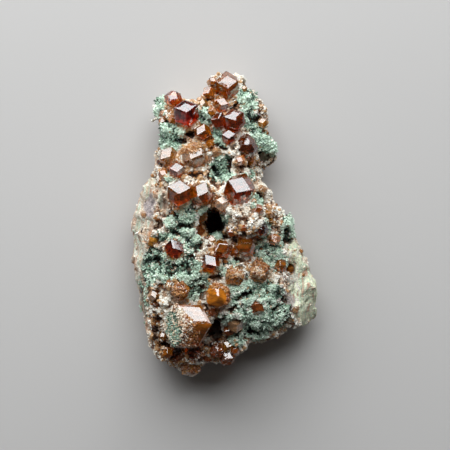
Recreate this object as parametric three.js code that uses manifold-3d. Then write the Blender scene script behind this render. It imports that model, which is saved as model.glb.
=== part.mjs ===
// Grossular and diopside specimen: a broken block of garnet-diopside rock that lies on its back,
// with orange-brown to deep red garnet crystals standing in pockets of its upper face.
//
// Millimetres, +Z up. The rock's flat back rests on Z = 0, the crystals face up, +Y runs along the
// specimen towards its narrow end, and the origin is the centre of the footprint of the whole thing.
import * as THREE from "three";
import { ImprovedNoise } from "three/addons/math/ImprovedNoise.js";
import { mergeVertices } from "three/addons/utils/BufferGeometryUtils.js";
import Module from "manifold-3d";

const wasm = await Module();
wasm.setup();

// ---------------------------------------------------------------- driving dimensions, in millimetres

const CELL = 2.24; // grid step of the rock's surface
const MARGIN = 3 * CELL; // empty space kept round the rock while its surface is worked out
const TOP = 30; // highest point that the rock may reach
const WIDEST = 8.5; // height at which the rock has its full outline
const REST_INSET = 4.6; // how far the flat back draws in from that outline
const WALL_LEAN = 0.2; // how fast the walls lean in above it
const BLEND = 0.8; // distance over which one face of the rock rounds into the next
const REACH = 1.2; // within this distance of a station the relief follows that station alone
const FLANK_SHARE = 1.25; // roughness of the flanks, as a share of the upper face's
const BELT_SHARE = 0.3; // the same at the widest height, where the flanks keep to the outline
const BELT_REACH = 7; // height over which the flanks go from the one to the other
const OUTLINE_INSET = 0.1; // how far the rock stays inside its outline's corners
const POCKET_GAP = 0.3; // clearance between a crystal and its pocket
const PINCH_FILL = 0.15; // depth of the fill where the rock would pinch itself, in cells
const SAME_POINT = 1e-6; // corners closer than this are one corner

// Roughness of the broken rock: the lumps' wave length and depth, and the size of the blocks that
// it broke along, how far each stands out or in, and how steeply each block's face is tilted.
const LUMP_WAVE = 5.2;
const LUMP_DEPTH = 1.6;
const BLOCK_SIZE = 6.4;
const BLOCK_STEP = 1.0;
const BLOCK_TILT = 0.4;
const BLOCK_SCATTER = 0.4; // how far a block's centre strays from its grid place, in block sizes

// Outline of the rock at its widest height, clockwise from the narrow end.
const OUTLINE = [
  [-0.8, 37.7], [4.5, 37.5], [8.4, 34.1], [9.9, 31.4], [10.6, 24.4], [10.3, 22.6], [13.2, 20.4],
  [13.4, 18.4], [9.2, 14.9], [9.2, 10.4], [11.9, 9.9], [12.8, 4.6], [15.2, 3.3], [17.1, 1.3],
  [17.8, -1.6], [19.8, -6.4], [24.0, -20.2], [24.3, -23.6], [21.2, -25.8], [15.8, -27.2],
  [13.4, -28.2], [6.4, -28.8], [3.9, -30.5], [2.0, -33.2], [0.6, -34.4], [-1.2, -33.7],
  [-4.8, -34.6], [-6.2, -36.4], [-8.0, -38.1], [-11.0, -37.3], [-16.6, -33.6], [-19.4, -30.4],
  [-22.2, -16.6], [-24.2, 0.1], [-21.6, 8.1], [-17.6, 12.9], [-18.2, 15.4], [-17.6, 18.1],
  [-15.9, 20.6], [-16.1, 23.4], [-17.8, 31.1], [-16.8, 32.3], [-12.5, 32.8], [-8.2, 30.9],
  [-6.2, 32.2], [-3.5, 36.6],
];

// Relief of the upper face: height of the rock at hand-placed stations, [x, y, height].
const STATIONS = [
  // narrow end and its rounded right rim
  [1, 36, 12.5], [5, 34, 11.5], [9, 29, 10], [9.5, 25, 10.5], [-3, 33, 14.5], [-9, 29, 15],
  [-15, 30, 12.5], [-15.5, 24, 13.5], [-15, 20, 14], [5, 28, 15],
  // upper column
  [-5, 24, 18], [0, 26, 18.5], [6, 23, 16], [1, 19, 20], [-5, 19, 20], [-12, 19, 17.5],
  [9, 19, 14.5], [12, 20, 12.5], [9.5, 17, 9.5], [-16, 17, 14], [-17, 14, 11],
  [-11, 14, 20], [-3, 14, 18.5], [4, 14, 20], [8, 13, 15],
  // shoulder under the column
  [-11, 8, 22], [-6, 9, 22], [4, 10, 22.5], [10, 9, 15.5], [11, 6, 14.5], [-16, 10, 18.5],
  [-19.5, 8.5, 12], [-22, 6, 9.5],
  // middle: the rim of the left flank, the hollow and the pale mass
  [-16.5, 2, 20.5], [-19, 0, 15.5], [-22.5, 0, 10], [-9, 0, 19], [-11, 3.5, 20.5], [-3, 0, 15],
  [2.5, 4, 24], [6.5, 2.5, 24.5], [6.5, -2, 24.5], [10, 3, 20], [9.5, -2.5, 19.5], [14, 2.5, 15],
  [15.5, -1, 15], [17.5, -2.5, 11.5],
  // below the pale mass
  [-9, -6.5, 21], [-15.5, -6.5, 21], [-19, -6, 16], [-22.5, -6, 10.5], [-2.5, -7.5, 20],
  [4, -7, 20], [10, -7.5, 18], [14, -7.5, 16], [17.8, -10, 12], [20.5, -12.5, 9.5],
  [-11, -14, 21.5], [-16, -14, 20.5], [-19, -14, 15.5], [-21.8, -14, 10.5], [-4, -15, 19.5],
  [2.5, -15, 19.5], [9, -15, 18], [14, -15, 16], [18, -16, 13], [21.8, -19, 9.5],
  // broad end
  [-16, -21, 19.5], [-19, -21, 14.5], [-20.8, -21, 10], [-9, -24, 19], [2.5, -21, 18.5],
  [8, -22.5, 17.5], [13, -22.5, 15.5], [17.5, -22.5, 13], [22, -23.5, 9], [16, -26, 11],
  [9, -27.5, 11.5], [4, -27.5, 13.5], [0, -30, 13], [1, -33, 10.5], [-5, -32, 14], [-9, -33, 13],
  [-15, -31, 12.5], [-18, -30, 11], [-8, -36, 9.5], [-18.5, -27, 13.5],
];

// Lumps that stand out of the rock, [x, y, z, radius in x, radius in y, radius in z].
const LUMPS = [
  [14.8, 0.2, 13, 2.5, 2.9, 3.4], // green druse lump on the right shoulder
  [11.0, 19.1, 10, 2.7, 2.5, 3.6], // druse on the right spur
  [-1.2, 1.6, 15.5, 1.3, 1.2, 3.4], // tuft at the lip of the hollow
  [6, 1.8, 21.5, 4.6, 4.4, 3.6], // pale granular mass
  [-10, -1, 18.5, 3.2, 2.4, 3.2], // druse left of the hollow
  [-6.5, -12.5, 18.5, 4.4, 2.8, 2.8], // druse under the hollow
  [7.5, -19.5, 16.5, 3.4, 3.2, 2.8], // druse cushion right of the centre
  [-15.2, 21.2, 12.5, 1.8, 3, 3], // druse on the upper left edge
];

// Pits, cracks and undercuts, in the same form as the lumps.
const PITS = [
  [-3.1, 0.4, 16, 2.4, 3.7, 9], // the deep hollow
  [-2.6, -27.4, 18, 1.9, 3.0, 10], // the dark hole beside the great crystal
  [9.7, 17.3, 13, 1.3, 1.1, 5.5], // hole under the right spur
  [5, -5, 20.5, 5, 0.9, 3.2], // undercut of the pale mass
  [15.4, -5.6, 16.5, 1.5, 0.8, 3.6], // crevice under the right lump
  [16.8, -26.3, 10, 1.3, 0.9, 3.6], // cavity in the lower edge
  [-6.5, 27.3, 16, 1.2, 0.8, 2.6], // cleft behind the upper garnets
];

// The two kinds of face that can lead a crystal, as [normal, long diagonal] in its own axes.
const RHOMB = [new THREE.Vector3(1, 1, 0), new THREE.Vector3(1, -1, 0)];
const KITE = [new THREE.Vector3(2, 1, 1), new THREE.Vector3(1, -1, -1)];

// Crystals that stand in pockets, one node a group. Each crystal is
// [x, y, size, lift, tilt, heading, spin, bevel, chief]: its place; the distance from its centre to
// its faces; how far the centre stands above the rock, as a share of the size; and, in degrees, how
// far its chief face leans from +Z, which way it leans (from +Y towards +X), and the direction of
// that face's long diagonal (from +X towards +Y). The bevel is the trapezohedron's share: 0 is a
// plain dodecahedron, 1 is a plain trapezohedron. The chief face is a rhomb unless it says KITE.
const GARNETS = {
  garnet_crown: [[0.5, 34.6, 2.8, 0.1, 14, 5, 4, 0.1]],
  garnet_brown_crest: [[-3.8, 32.9, 1.45, 0.2, 38, -60, 30, 0]],
  garnet_great_red: [
    [-9.7, 27.5, 3.0, 0.45, 37, 0, 11, 0.12],
    [-12.8, 31.3, 1.8, 0.5, 10, -20, 72, 0],
  ],
  garnet_streaked: [[-5.5, 22.9, 1.8, 0.3, 52, 60, -60, 0]],
  garnet_upper_middle: [[-0.8, 29.7, 1.65, 0.25, 28, 10, -20, 0]],
  garnet_double_face: [
    [2.3, 25.8, 2.5, 0.35, 38, 0, 18, 0.2],
    [-1.5, 25.8, 1.75, 0.2, 44, -30, 40, 0],
    [0.9, 21.8, 1.6, 0.4, 20, 0, 3, 0],
  ],
  garnet_right_red: [[5.2, 19.5, 2.7, 0.3, 36, -20, -52, 0.55, KITE]],
  garnet_left_square: [[-13.9, 16.9, 2.2, 0.15, 30, -38, 52, 0]],
  garnet_left_rhomb: [[-11.9, 13.7, 1.8, 0.35, 14, 0, 6, 0]],
  garnet_frosted_crown: [[-7.6, 17.1, 2.7, 0.1, 24, 20, 62, 0.2]],
  garnet_pair_left: [
    [-11.3, 7.9, 2.8, 0.2, 30, 0, -4, 0.1],
    [-5.8, 7.8, 2.3, 0.25, 26, 8, 65, 0],
  ],
  garnet_hollow_upper: [[-6.1, 2.3, 1.8, -0.2, 42, 0, -5, 0]],
  garnet_hollow_lower: [[-6.9, -1.7, 1.6, -0.6, 70, 60, 20, 0]],
  garnet_ring: [[-0.9, 5.2, 1.6, 0.1, 34, 15, 0, 0]],
  garnet_pale_face: [[3.5, 8.7, 3.3, 0.0, 18, 0, -24, 0.06]],
  garnet_blade: [[8.6, -1.3, 1.9, 0.2, 38, -50, 56, 0.5, KITE]],
  garnet_bar_top: [[5.1, -5.3, 2.2, 0.25, 34, 0, 0, 0.35, KITE]],
  garnet_bar_partner: [[-0.7, -5.9, 1.9, 0.1, 38, 0, -12, 0.2, KITE]],
  garnet_right_small: [[12.3, -3.6, 1.3, 0.2, 50, 90, 30, 0]],
  garnet_right_long: [[13.7, -10.1, 1.4, 0.2, 45, 40, 50, 0]],
  garnet_rosette: [[8.2, -11.4, 2.3, 0.1, 20, 60, 20, 0]],
  garnet_kite: [[-3.7, -9.5, 2.1, 0.3, 22, 15, -50, 0]],
  garnet_ruby: [[-12.5, -6.1, 2.2, 0.35, 42, 40, -50, 0.12]],
  garnet_etched_pair: [[2.4, -12.9, 2.0, 0.2, 30, -120, 40, 0]],
  garnet_round_brown: [[-10.8, -16.2, 2.2, 0.25, 20, 170, 15, 0.75]],
  garnet_amber_block: [[-1.8, -17.5, 2.8, 0.35, 38, 180, 0, 0.3]],
  garnet_lower_brown: [[7.8, -20.3, 1.6, -0.1, 30, 90, -30, 0]],
  garnet_great_block: [[-9.1, -24.9, 5.2, 0.2, 38, 25, -35, 0.05]],
  garnet_hole_rim: [[2.4, -24.6, 1.8, 0.1, 30, 20, 10, 0]],
  garnet_lower_edge: [
    [-2.0, -31.2, 1.6, 0.3, 40, 150, 20, 0],
    [0.6, -33.0, 1.8, 0.2, 40, 170, 50, 0],
  ],
  garnet_smoky_tip: [[-8.6, -35.4, 2.2, -0.1, 55, 180, 15, 0]],
};

// Small garnets fused to the rock: [x, y, size, lift, tilt, heading, spin].
const SMALL_GARNETS = [
  [-3.0, 35.6, 1.1, -0.4, 20, 0, 20],
  [-13.1, 25.9, 1.1, 0.3, 40, 180, 40],
  [-15.2, 27.4, 1.1, 0.2, 25, -40, 0],
  [-4.0, 27.6, 1.1, 0.2, 45, 90, 30],
  [9.0, 25.3, 1.3, 0.1, 30, 80, 50],
  [7.2, 5.6, 1.0, 0.1, 45, 160, 0],
  [9.4, 8.8, 1.3, -0.2, 30, 60, 35],
  [11.5, 3.0, 1.2, 0.2, 25, 40, 60],
  [1.4, -2.2, 1.1, 0.0, 60, 180, 10],
  [-18.0, -4.0, 1.4, 0.1, 35, -70, 40],
  [-17.6, -17.6, 1.3, 0.1, 30, -60, 20],
  [-15.7, -27.6, 1.2, 0.2, 35, -50, 20],
  [-15.2, 12.6, 1.2, 0.1, 30, -30, 30],
  [3.4, -29.8, 1.3, 0.1, 35, 170, 20],
  [-14.2, -32.0, 1.3, 0.0, 30, 200, 20],
  [17.4, -20.8, 1.1, 0.1, 20, 90, 30],
];

// Colours of the two minerals.
const ROCK_COLOUR = "#9db3a0";
const GARNET_COLOUR = "#8a3a14";

// ---------------------------------------------------------------- crystals

const INNER_SHARE = 1.1547; // where the trapezohedron's faces just touch the dodecahedron's edges
const FULL_BEVEL = 0.2887; // from there to the pure trapezohedron, as a share of the size
const SHAPE_SPREAD = 0.035; // natural misshape: how much one face may stand in or out, as a share
const CHANCE_STEPS = [12.9898, 78.233, 45.164, 37.719]; // turns a place into an angle in radians
const CHANCE_SPREAD = 43758.5453; // large enough that close angles give unrelated numbers

/** A repeatable number from -1 to 1 for the item `index` of what stands at (x, y, z). */
function chance(x, y, z, index) {
  const [forX, forY, forZ, forIndex] = CHANCE_STEPS;
  const wave = Math.sin(x * forX + y * forY + z * forZ + index * forIndex) * CHANCE_SPREAD;
  return 2 * (wave - Math.floor(wave)) - 1;
}

/** The face directions of a garnet: 12 of the dodecahedron, then 24 of the trapezohedron. */
function garnetDirections() {
  const rhombs = [];
  const kites = [];
  for (const lone of [0, 1, 2])
    for (const a of [-1, 1])
      for (const b of [-1, 1]) {
        const rhomb = [a, b];
        rhomb.splice(lone, 0, 0);
        rhombs.push(new THREE.Vector3(...rhomb).normalize());
        for (const c of [-2, 2]) {
          const kite = [a, b];
          kite.splice(lone, 0, c);
          kites.push(new THREE.Vector3(...kite).normalize());
        }
      }
  return { rhombs, kites };
}

/** The frame whose axes are a face's normal and its long diagonal, squared up. */
function faceFrame(normal, diagonal) {
  const first = normal.clone().normalize();
  const second = diagonal.clone().addScaledVector(first, -diagonal.dot(first)).normalize();
  return new THREE.Matrix4().makeBasis(first, second, first.clone().cross(second));
}

/** The turn that brings a crystal's chief face to its lean, and its long diagonal to its spin. */
function crystalTurn({ tilt, heading, spin, chief }) {
  const lean = THREE.MathUtils.degToRad(tilt);
  const way = THREE.MathUtils.degToRad(heading);
  const along = THREE.MathUtils.degToRad(spin);
  const face = new THREE.Vector3(
    Math.sin(lean) * Math.sin(way),
    Math.sin(lean) * Math.cos(way),
    Math.cos(lean),
  );
  const diagonal = new THREE.Vector3(Math.cos(along), Math.sin(along), 0);
  return faceFrame(face, diagonal).multiply(faceFrame(...chief).transpose());
}

/** The planes of one crystal in the specimen's frame; `grown` moves every face out. */
function crystalPlanes(crystal, grown) {
  const turn = crystalTurn(crystal);
  const { rhombs, kites } = garnetDirections();
  const faces = rhombs.map((normal) => ({ normal, share: 1 }));
  if (crystal.bevel > 0)
    faces.push(...kites.map((normal) => ({
      normal,
      share: INNER_SHARE - FULL_BEVEL * crystal.bevel,
    })));
  return faces.map(({ normal, share }, index) => {
    const spread = crystal.bevel > 0 ? SHAPE_SPREAD : 0;
    const uneven = 1 + spread * chance(...crystal.place.toArray(), index);
    const direction = normal.clone().applyMatrix4(turn);
    const distance = crystal.size * share * uneven + grown;
    return new THREE.Plane(direction, -distance - direction.dot(crystal.place));
  });
}

/** The corners that a set of planes leaves, each with the planes that meet there. */
function cornersOf(planes) {
  const corners = [];
  const line = new THREE.Vector3();
  planes.forEach((a, i) => {
    for (let j = i + 1; j < planes.length; j++)
      for (let k = j + 1; k < planes.length; k++) {
        line.crossVectors(planes[j].normal, planes[k].normal);
        const volume = a.normal.dot(line);
        if (Math.abs(volume) < SAME_POINT) continue;
        const corner = line.clone().multiplyScalar(-a.constant);
        corner.addScaledVector(planes[k].normal.clone().cross(a.normal), -planes[j].constant);
        corner.addScaledVector(a.normal.clone().cross(planes[j].normal), -planes[k].constant);
        corner.divideScalar(volume);
        if (planes.some((plane) => plane.distanceToPoint(corner) > SAME_POINT)) continue;
        if (!corners.some((other) => other.distanceTo(corner) < SAME_POINT)) corners.push(corner);
      }
  });
  return corners;
}

/** The closed mesh of the space inside a set of planes. */
function convexGeometry(planes) {
  const corners = cornersOf(planes);
  const positions = [];
  for (const plane of planes) {
    const ring = corners.filter((corner) => Math.abs(plane.distanceToPoint(corner)) < SAME_POINT);
    if (ring.length < 3) continue;
    const centre = ring.reduce((sum, p) => sum.add(p), new THREE.Vector3()).divideScalar(ring.length);
    const across = ring[0].clone().sub(centre).normalize();
    const up = plane.normal.clone().cross(across);
    const angle = (p) => Math.atan2(p.clone().sub(centre).dot(up), p.clone().sub(centre).dot(across));
    ring.sort((p, q) => angle(p) - angle(q));
    for (let i = 1; i + 1 < ring.length; i++)
      positions.push(...ring[0].toArray(), ...ring[i].toArray(), ...ring[i + 1].toArray());
  }
  return new THREE.BufferGeometry().setAttribute(
    "position",
    new THREE.Float32BufferAttribute(positions, 3),
  );
}

// ---------------------------------------------------------------- solids

/** A closed geometry as a manifold-3d solid. */
function solidOf(geometry) {
  const bare = geometry.clone();
  bare.deleteAttribute("normal");
  bare.deleteAttribute("uv");
  const merged = mergeVertices(bare);
  return new wasm.Manifold(new wasm.Mesh({
    numProp: 3,
    vertProperties: merged.getAttribute("position").array,
    triVerts: new Uint32Array(merged.index.array),
  }));
}

/** A manifold-3d solid as a three.js geometry with flat faces. */
function geometryOf(solid) {
  const mesh = solid.getMesh();
  const geometry = new THREE.BufferGeometry();
  geometry.setAttribute("position", new THREE.BufferAttribute(mesh.vertProperties, mesh.numProp));
  geometry.setIndex(new THREE.BufferAttribute(mesh.triVerts, 1));
  const flat = geometry.toNonIndexed();
  flat.computeVertexNormals();
  return flat;
}

// ---------------------------------------------------------------- rock

const waves = new ImprovedNoise();

// The eight corners of a cell, and the pairs of them that are one edge apart.
const CELL_CORNERS = [0, 1].flatMap((z) => (
  [0, 1].flatMap((y) => [0, 1].map((x) => new THREE.Vector3(x, y, z)))
));
const CELL_EDGES = CELL_CORNERS.flatMap((a, index) => (
  CELL_CORNERS.slice(index + 1).filter((b) => a.manhattanDistanceTo(b) === 1).map((b) => [a, b])
));

/** How far the rock stands out at a point because of the tilted block that it broke along. */
function blockStep(point) {
  const home = point.clone().divideScalar(BLOCK_SIZE).round();
  const site = new THREE.Vector3();
  const nearest = { distance: Infinity, site: new THREE.Vector3() };
  for (const i of [-1, 0, 1])
    for (const j of [-1, 0, 1])
      for (const k of [-1, 0, 1]) {
        site.set(home.x + i, home.y + j, home.z + k);
        const shift = [0, 1, 2].map((index) => chance(...site.toArray(), index) * BLOCK_SCATTER);
        site.add(new THREE.Vector3(...shift)).multiplyScalar(BLOCK_SIZE);
        const distance = site.distanceToSquared(point);
        if (distance < nearest.distance) {
          nearest.distance = distance;
          nearest.site.copy(site);
        }
      }
  const key = nearest.site.toArray();
  const slope = new THREE.Vector3(...[3, 4, 5].map((index) => chance(...key, index)));
  return BLOCK_STEP * chance(...key, 6) + BLOCK_TILT * slope.dot(point.clone().sub(nearest.site));
}

/** Distance from (x, y) to the outline, negative inside it. */
function outlineDistance(x, y) {
  let nearest = Infinity;
  let inside = false;
  OUTLINE.forEach(([ax, ay], index) => {
    const [bx, by] = OUTLINE[(index + 1) % OUTLINE.length];
    const [ex, ey] = [bx - ax, by - ay];
    const share = ((x - ax) * ex + (y - ay) * ey) / (ex * ex + ey * ey);
    const along = Math.min(1, Math.max(0, share));
    nearest = Math.min(nearest, Math.hypot(x - ax - ex * along, y - ay - ey * along));
    if (ay > y !== by > y && x < ax + ((y - ay) / ey) * ex) inside = !inside;
  });
  return inside ? -nearest : nearest;
}

/** Height of the upper face over (x, y): the stations' heights, weighted by nearness. */
function reliefHeight(x, y) {
  let sum = 0;
  let total = 0;
  for (const [sx, sy, height] of STATIONS) {
    const weight = 1 / (REACH ** 2 + (x - sx) ** 2 + (y - sy) ** 2) ** 2;
    sum += weight * height;
    total += weight;
  }
  return sum / total;
}

/** The lesser of two distances, rounded off where they meet. */
function smoothLess(a, b) {
  const mix = Math.max(BLEND - Math.abs(a - b), 0) / BLEND;
  return Math.min(a, b) - (mix * mix * BLEND) / 4;
}

/** Rough distance from a point to the ellipsoid [x, y, z, rx, ry, rz]. */
function ellipsoidDistance(point, [x, y, z, rx, ry, rz]) {
  const reach = Math.hypot((point.x - x) / rx, (point.y - y) / ry, (point.z - z) / rz);
  return (reach - 1) * Math.min(rx, ry, rz);
}

/** How far the wall stands inside the outline at a height. */
function wallInset(z) {
  if (z < WIDEST) return REST_INSET * (1 - z / WIDEST) ** 2;
  return (z - WIDEST) * WALL_LEAN;
}

/** How rough the flanks are at a height, as a share of the upper face's roughness. */
function flankShare(z) {
  const away = Math.min(1, Math.abs(z - WIDEST) / BELT_REACH);
  return THREE.MathUtils.lerp(BELT_SHARE, FLANK_SHARE, away);
}

/** Rough distance to the rock's surface, negative inside; `column` is what (x, y) alone sets. */
function rockField(point, column) {
  const lumpy = waves.noise(point.x / LUMP_WAVE, point.y / LUMP_WAVE, point.z / LUMP_WAVE);
  const broken = LUMP_DEPTH * lumpy + blockStep(point);
  const wall = column.outline + OUTLINE_INSET + wallInset(point.z) + broken * flankShare(point.z);
  const upper = point.z - column.height + broken;
  let field = -smoothLess(-wall, -upper);
  for (const lump of LUMPS) field = smoothLess(field, ellipsoidDistance(point, lump));
  for (const pit of PITS) field = -smoothLess(-field, ellipsoidDistance(point, pit));
  return field;
}

/** The rock's field on a grid whose cells are CELL wide, and the grid's layout. */
function sampleRock() {
  const xs = OUTLINE.map(([x]) => x);
  const ys = OUTLINE.map(([, y]) => y);
  const low = new THREE.Vector3(Math.min(...xs), Math.min(...ys), 0).subScalar(MARGIN);
  const high = new THREE.Vector3(Math.max(...xs), Math.max(...ys), TOP).addScalar(MARGIN);
  const counts = high.clone().sub(low).divideScalar(CELL).ceil().addScalar(1).toArray();
  const [nx, ny, nz] = counts;
  const steps = [1, nx, nx * ny];
  const values = new Float32Array(nx * ny * nz);
  const point = new THREE.Vector3();
  for (let j = 0; j < ny; j++)
    for (let i = 0; i < nx; i++) {
      point.set(low.x + i * CELL, low.y + j * CELL, 0);
      const column = {
        outline: outlineDistance(point.x, point.y),
        height: reliefHeight(point.x, point.y),
      };
      for (let k = 0; k < nz; k++) {
        point.z = low.z + k * CELL;
        const underside = -CELL - point.z;
        values[i + j * steps[1] + k * steps[2]] = Math.max(rockField(point, column), underside);
      }
    }
  return { low, counts, steps, values };
}

/** Fills in wherever the rock would touch itself along a line only, until no such place is left. */
function fillPinches({ steps, values }) {
  const corners = values.length - steps[2] - steps[1];
  const [alongX, alongY, alongZ] = steps;
  let filled = true;
  while (filled) {
    filled = false;
    for (const [a, b] of [[alongX, alongY], [alongY, alongZ], [alongX, alongZ]])
      for (let corner = 0; corner < corners; corner += 1) {
        const [here, across] = [values[corner] < 0, values[corner + a + b] < 0];
        const [beside, above] = [values[corner + a] < 0, values[corner + b] < 0];
        if (here !== across || beside !== above || here === beside) continue;
        values[here ? corner + a : corner] = -CELL * PINCH_FILL;
        filled = true;
      }
  }
}

/** The point inside a cell that the surface passes through, or nothing if it misses the cell. */
function cellPoint(cell, corner, { low, values, steps }) {
  const stride = new THREE.Vector3(...steps);
  const sum = new THREE.Vector3();
  let crossings = 0;
  for (const [a, b] of CELL_EDGES) {
    const [from, to] = [a, b].map((place) => values[corner + place.dot(stride)]);
    if (from < 0 === to < 0) continue;
    sum.add(a.clone().lerp(b, from / (from - to)));
    crossings += 1;
  }
  if (!crossings) return null;
  return sum.divideScalar(crossings).add(cell).multiplyScalar(CELL).add(low);
}

/** The rock's surface: one point in each cell that it crosses, one square on each crossed edge. */
function surfaceNet(grid) {
  const { counts, steps, values } = grid;
  const [nx, ny, nz] = counts;
  const pointOf = new Map();
  const positions = [];
  const cell = new THREE.Vector3();
  for (let k = 0; k + 1 < nz; k++)
    for (let j = 0; j + 1 < ny; j++)
      for (let i = 0; i + 1 < nx; i++) {
        const corner = i + j * steps[1] + k * steps[2];
        const point = cellPoint(cell.set(i, j, k), corner, grid);
        if (point) pointOf.set(corner, point);
      }
  for (const corner of pointOf.keys())
    steps.forEach((step, axis) => {
      const [from, to] = [values[corner], values[corner + step]];
      if (from < 0 === to < 0) return;
      const [side, other] = [steps[(axis + 1) % 3], steps[(axis + 2) % 3]];
      const around = [corner, corner - side, corner - side - other, corner - other];
      const square = around.map((index) => pointOf.get(index).toArray());
      if (from >= 0) square.reverse();
      const [p, q, r, s] = square;
      positions.push(...p, ...q, ...r, ...p, ...r, ...s);
    });
  return new THREE.BufferGeometry().setAttribute(
    "position",
    new THREE.Float32BufferAttribute(positions, 3),
  );
}

// ---------------------------------------------------------------- assembly

/** A crystal as named values, its centre set on the relief. */
function crystalAt([x, y, size, lift, tilt, heading, spin, bevel = 0, chief = RHOMB]) {
  const place = new THREE.Vector3(x, y, reliefHeight(x, y) + lift * size);
  return { place, size, tilt, heading, spin, bevel, chief };
}

/** A group of crystals as one solid, with every face moved out by `grown`. */
function crystalSolid(crystals, grown = 0) {
  return crystals
    .map((crystal) => solidOf(convexGeometry(crystalPlanes(crystal, grown))))
    .reduce((all, one) => all.add(one));
}

/** The slab under Z = 0, which gives the rock its flat back. */
function groundSlab() {
  const thick = 2 * MARGIN;
  const wide = 4 * Math.max(...OUTLINE.flat());
  return solidOf(new THREE.BoxGeometry(wide, wide, thick).translate(0, 0, -thick / 2));
}

/** The largest closed surface of a solid, without its loose crumbs and sealed bubbles. */
function mainBody(solid) {
  return solid.decompose().reduce((best, body) => (body.volume() > best.volume() ? body : best));
}

/** The rock, with its small garnets joined to it and a pocket cut for each large one. */
function rockSolid(pockets) {
  const grid = sampleRock();
  fillPinches(grid);
  let rock = mainBody(solidOf(surfaceNet(grid))).subtract(groundSlab());
  for (const garnet of SMALL_GARNETS) rock = rock.add(crystalSolid([crystalAt(garnet)]));
  for (const pocket of pockets) rock = rock.subtract(pocket);
  return mainBody(rock);
}

/** A named mesh of one solid in one colour. */
function namedMesh(name, solid, material) {
  const mesh = new THREE.Mesh(geometryOf(solid), material);
  mesh.name = name;
  return mesh;
}

const specimen = new THREE.Group();
const pockets = [];
for (const [name, rows] of Object.entries(GARNETS)) {
  const crystals = rows.map(crystalAt);
  const material = new THREE.MeshStandardMaterial({
    color: GARNET_COLOUR,
    roughness: 0.12,
    metalness: 0,
  });
  specimen.add(namedMesh(name, crystalSolid(crystals), material));
  pockets.push(crystalSolid(crystals.map((crystal) => ({ ...crystal, bevel: 0 })), POCKET_GAP));
}
const rockMaterial = new THREE.MeshStandardMaterial({
  color: ROCK_COLOUR,
  roughness: 0.85,
  metalness: 0,
});
specimen.add(namedMesh("matrix_rock", rockSolid(pockets), rockMaterial));

const footprint = new THREE.Box3().setFromObject(specimen).getCenter(new THREE.Vector3());
specimen.position.set(-footprint.x, -footprint.y, 0);

export default specimen;
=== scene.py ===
"""Grossular and diopside specimen: garnet crystals on a lump of green and cream rock.

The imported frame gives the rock's broken form and every large crystal's faces. This script gives them
their finish. The rock is remeshed finely and roughened, thousands of diopside prisms, cream grains
and small brown garnets grow on it in patches, and each large garnet gets bevelled edges, growth
steps and a clear, deeply coloured body.

Lengths are in millimetres in the classes' fields and in metres in every Blender object.
"""
import logging
import math
from dataclasses import dataclass, field
from enum import Enum
from itertools import product

import bmesh
import bpy
import numpy as np
from mathutils import Matrix, Vector
from mathutils.bvhtree import BVHTree


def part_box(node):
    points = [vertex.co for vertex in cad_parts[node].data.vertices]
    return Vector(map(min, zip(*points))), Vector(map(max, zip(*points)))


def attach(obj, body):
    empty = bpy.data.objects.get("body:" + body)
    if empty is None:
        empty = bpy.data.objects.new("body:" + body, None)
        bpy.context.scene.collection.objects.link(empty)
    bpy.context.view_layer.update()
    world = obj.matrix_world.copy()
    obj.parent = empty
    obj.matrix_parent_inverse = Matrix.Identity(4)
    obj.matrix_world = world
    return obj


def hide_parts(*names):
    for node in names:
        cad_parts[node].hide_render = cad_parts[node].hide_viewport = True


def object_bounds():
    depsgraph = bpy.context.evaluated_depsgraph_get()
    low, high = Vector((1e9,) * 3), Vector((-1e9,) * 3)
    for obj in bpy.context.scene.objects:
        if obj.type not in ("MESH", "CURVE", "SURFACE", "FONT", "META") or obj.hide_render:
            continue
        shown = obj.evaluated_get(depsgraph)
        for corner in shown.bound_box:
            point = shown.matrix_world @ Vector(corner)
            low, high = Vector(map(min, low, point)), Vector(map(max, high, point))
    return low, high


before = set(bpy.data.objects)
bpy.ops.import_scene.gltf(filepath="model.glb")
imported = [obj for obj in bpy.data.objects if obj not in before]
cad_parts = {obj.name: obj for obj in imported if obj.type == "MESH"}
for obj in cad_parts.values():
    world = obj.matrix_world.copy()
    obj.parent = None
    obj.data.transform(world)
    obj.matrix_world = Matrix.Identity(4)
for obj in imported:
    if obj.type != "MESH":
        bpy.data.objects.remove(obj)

MM = 0.001  # metres in a millimetre
SEED = 20
SHIFT = np.array((0.15, -0.13, 0.0))  # from the places in this file to the frame, which is centred
BOX_MARGIN = 0.02  # millimetres that every piece keeps inside the frame's box
SITE_JITTER = 0.42  # how far a site strays from its cube's middle, as a share of the cube
HASH_WEIGHTS = np.array(
    ((12.9898, 39.3468, 73.1560), (78.233, 11.1353, 52.2350), (45.164, 83.1550, 9.1510))
)
HASH_STEP = 17.31
HASH_SPREAD = 43758.5453
UNDERSIDE = 2.0  # below this height nothing grows on a surface that faces down
TRIES = 30  # places tried for each crystal
CRYSTAL_CLEARANCE = 0.12  # from a grain's root to a large garnet
FAR = 100.0  # past the specimen's end on either side
TINY = 1e-12  # a row shorter than this has no direction
STEP_SHARE = 0.4  # how far a block's face stands out or back, as a share of its width
GROOVE_SHARE = 0.3  # how broad the groove round a block is, as a share of its width
MOUND_REACH = 0.72  # half-width of a mound, as a share of its cube
MOUND_SPREAD = 0.25  # how unequal the mounds are
PATCH_FADE = (0.8, 1.25)  # where a patch starts and stops fading, as shares of its reach

Mesh = bpy.types.Mesh
Material = bpy.types.Material
Piece = bpy.types.Object
Socket = bpy.types.NodeSocket
Pair = tuple[float, float]
Triple = tuple[float, float, float]
Numbers = tuple[float, ...]
Layer = tuple[float, int, float]  # a relief's width, its pattern, and its depth, height or tilt
LongLayer = tuple[float, int, float, float]  # the same and a fourth number
Colour = Triple  # red, green and blue, from 0 to 1

log = logging.getLogger("specimen")
CAD_BOX = [np.array(corner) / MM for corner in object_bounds()]


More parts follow.
